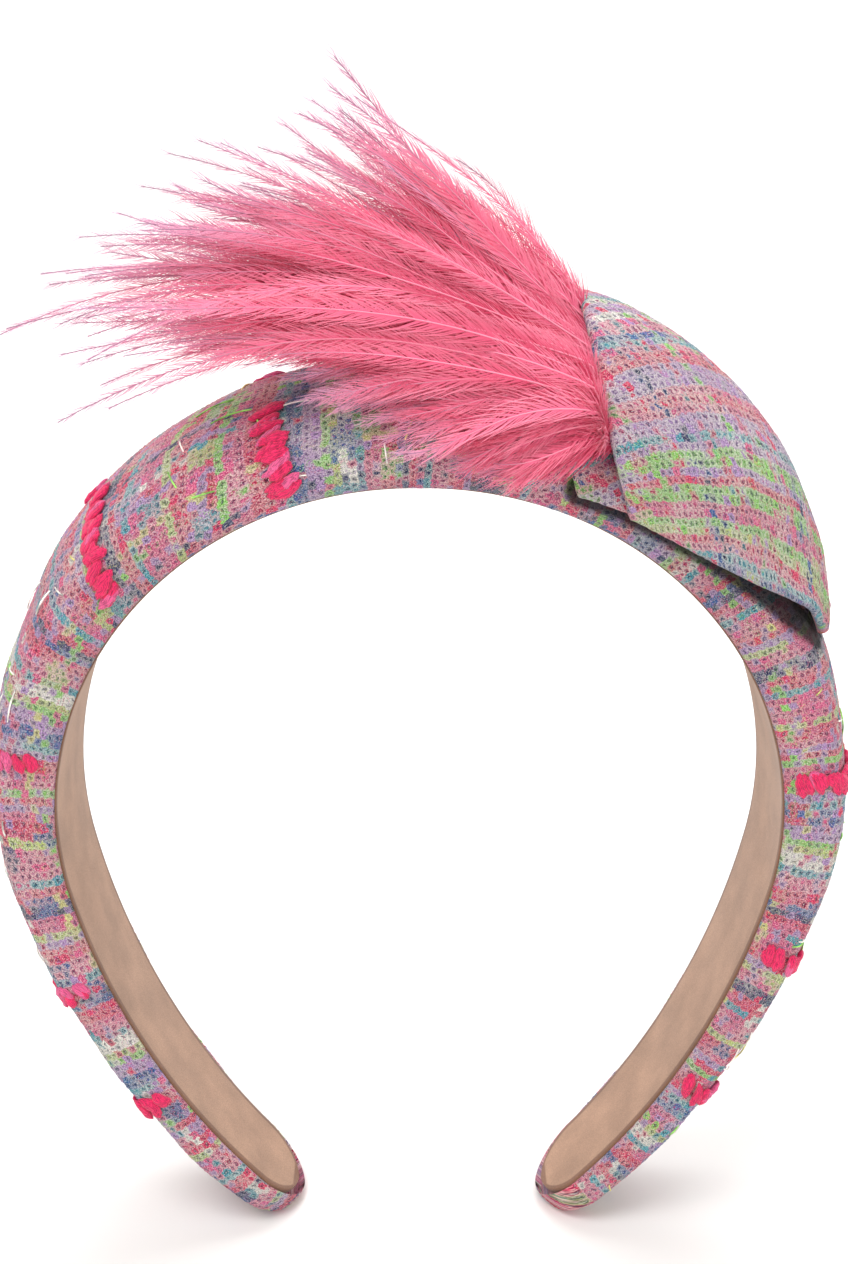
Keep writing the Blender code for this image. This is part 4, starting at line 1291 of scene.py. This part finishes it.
class HEADBAND_OT_stage(bpy.types.Operator):
    """Make the floor, the backdrop, the soft lights and the camera"""

    bl_idname = "headband.stage"
    bl_label = "Stage"

    def execute(self, context):
        stage = context.scene.headband_stage
        self.floor(stage)
        self.lights(context)
        self.camera(context, stage)
        context.scene.view_settings.view_transform = "Standard"
        return {"FINISHED"}

    def floor(self, stage):
        """Painted paper sweep: matt and pale, rising behind the object in one curve."""
        material, tree, shader = new_material("matt_paper_sweep", 0.9, specular=0.2)
        where = add(tree, "ShaderNodeTexCoord").outputs["Object"]
        mottle = add(tree, "ShaderNodeTexNoise", {"Vector": where, "Scale": 6.0, "Detail": 2.0})
        tone = add(tree, "ShaderNodeMapRange", (mottle.outputs["Fac"], 0.0, 1.0, 0.985, 1.0))
        grey = add(tree, "ShaderNodeCombineColor", (tone, tone, tone))
        final = add(tree, MIX, {0: 1.0, 6: (*stage.floor, 1.0), 7: grey}, data_type="RGBA",
                    blend_type="MULTIPLY")
        tree.links.new(final.outputs[2], shader.inputs["Base Color"])
        bend = np.radians(np.linspace(0.0, 90.0, 25))
        depth = np.concatenate(([-1.2], 1.2 + 0.6 * np.sin(bend), [1.8]))
        rise = np.concatenate(([0.0], 0.6 - 0.6 * np.cos(bend), [2.6]))
        points = [(x, y, z - 0.05 * MM) for y, z in zip(depth, rise) for x in (-2.2, 2.2)]
        faces = [(2 * k, 2 * k + 1, 2 * k + 3, 2 * k + 2) for k in range(len(depth) - 1)]
        mesh = bpy.data.meshes.new("paper_sweep")
        mesh.from_pydata(points, [], faces)
        new_object("paper_sweep", mesh, material)

    def lights(self, context):
        """Large soft lights and an even pale surround."""
        world = bpy.data.worlds.new("pale_studio")
        world.use_nodes = True
        surround = world.node_tree.nodes["Background"]
        surround.inputs["Color"].default_value = (1.0, 1.0, 1.0, 1.0)
        surround.inputs["Strength"].default_value = 0.68
        context.scene.world = world
        target = Vector((0.0, BASE_Y, 0.6 * BASE_Z))
        backdrop = Vector((0.0, 1.8, 0.9))
        for name, spot, aim, size, power in (
                ("key_softbox", (-0.40, -0.55, 1.10), target, 0.6, 7.0),
                ("fill_softbox", (0.85, -0.60, 0.55), target, 0.9, 2.5),
                ("top_softbox", (0.10, 0.35, 1.10), target, 0.8, 4.5),
                ("backdrop_softbox", (0.0, 0.5, 1.6), backdrop, 1.2, 14.0)):
            lamp = bpy.data.lights.new(name, "AREA")
            lamp.size = size
            lamp.energy = power
            holder = bpy.data.objects.new(name, lamp)
            holder.location = spot
            holder.rotation_euler = (aim - Vector(spot)).to_track_quat("-Z", "Y").to_euler()
            context.scene.collection.objects.link(holder)

    def camera(self, context, stage):
        """The photograph's place and lens."""
        lens = bpy.data.cameras.new("product_camera")
        lens.sensor_width = 36.0
        lens.lens = stage.focal
        lens.clip_start = 0.01
        lens.clip_end = 20.0
        camera = bpy.data.objects.new("product_camera", lens)
        tilt = stage.elevation
        target = Vector((0.8 * MM, BASE_Y, BASE_Z - 32.3 * MM))
        camera.location = target + stage.distance * Vector((0.0, -math.cos(tilt),
                                                            math.sin(tilt)))
        camera.rotation_euler = (math.pi / 2 - tilt, 0.0, 0.0)
        context.scene.collection.objects.link(camera)
        context.scene.camera = camera


class HEADBAND_PT_panel(bpy.types.Panel):
    """Lists the pieces of the headband in the sidebar"""

    bl_idname = "HEADBAND_PT_panel"
    bl_label = "Headband"
    bl_space_type = "VIEW_3D"
    bl_region_type = "UI"
    bl_category = "Headband"

    def draw(self, context):
        for settings in (context.scene.headband_cloth, context.scene.headband_plume,
                         context.scene.headband_stage):
            box = self.layout.box()
            for key in settings.__annotations__:
                box.prop(settings, key)
        for operator in OPERATORS:
            self.layout.operator(operator.bl_idname)


OPERATORS = (HEADBAND_OT_lining, HEADBAND_OT_padding, HEADBAND_OT_petals, HEADBAND_OT_slubs,
             HEADBAND_OT_plume, HEADBAND_OT_stage)
SETTINGS = (("headband_cloth", ClothSettings), ("headband_plume", PlumeSettings),
            ("headband_stage", StageSettings))


def register():
    """Makes the settings, the operators and the panel known."""
    for name, group in SETTINGS:
        bpy.utils.register_class(group)
        setattr(bpy.types.Scene, name, PointerProperty(type=group))
    for kind in (*OPERATORS, HEADBAND_PT_panel):
        bpy.utils.register_class(kind)


def unregister():
    """Takes them away again."""
    for kind in (HEADBAND_PT_panel, *reversed(OPERATORS)):
        bpy.utils.unregister_class(kind)
    for name, group in reversed(SETTINGS):
        delattr(bpy.types.Scene, name)
        bpy.utils.unregister_class(group)


def main():
    """Builds the pieces in order."""
    register()
    bpy.ops.headband.lining()
    bpy.ops.headband.padding()
    bpy.ops.headband.petals()
    bpy.ops.headband.slubs()
    bpy.ops.headband.plume()
    bpy.ops.headband.stage()


if __name__ == "__main__":
    main()
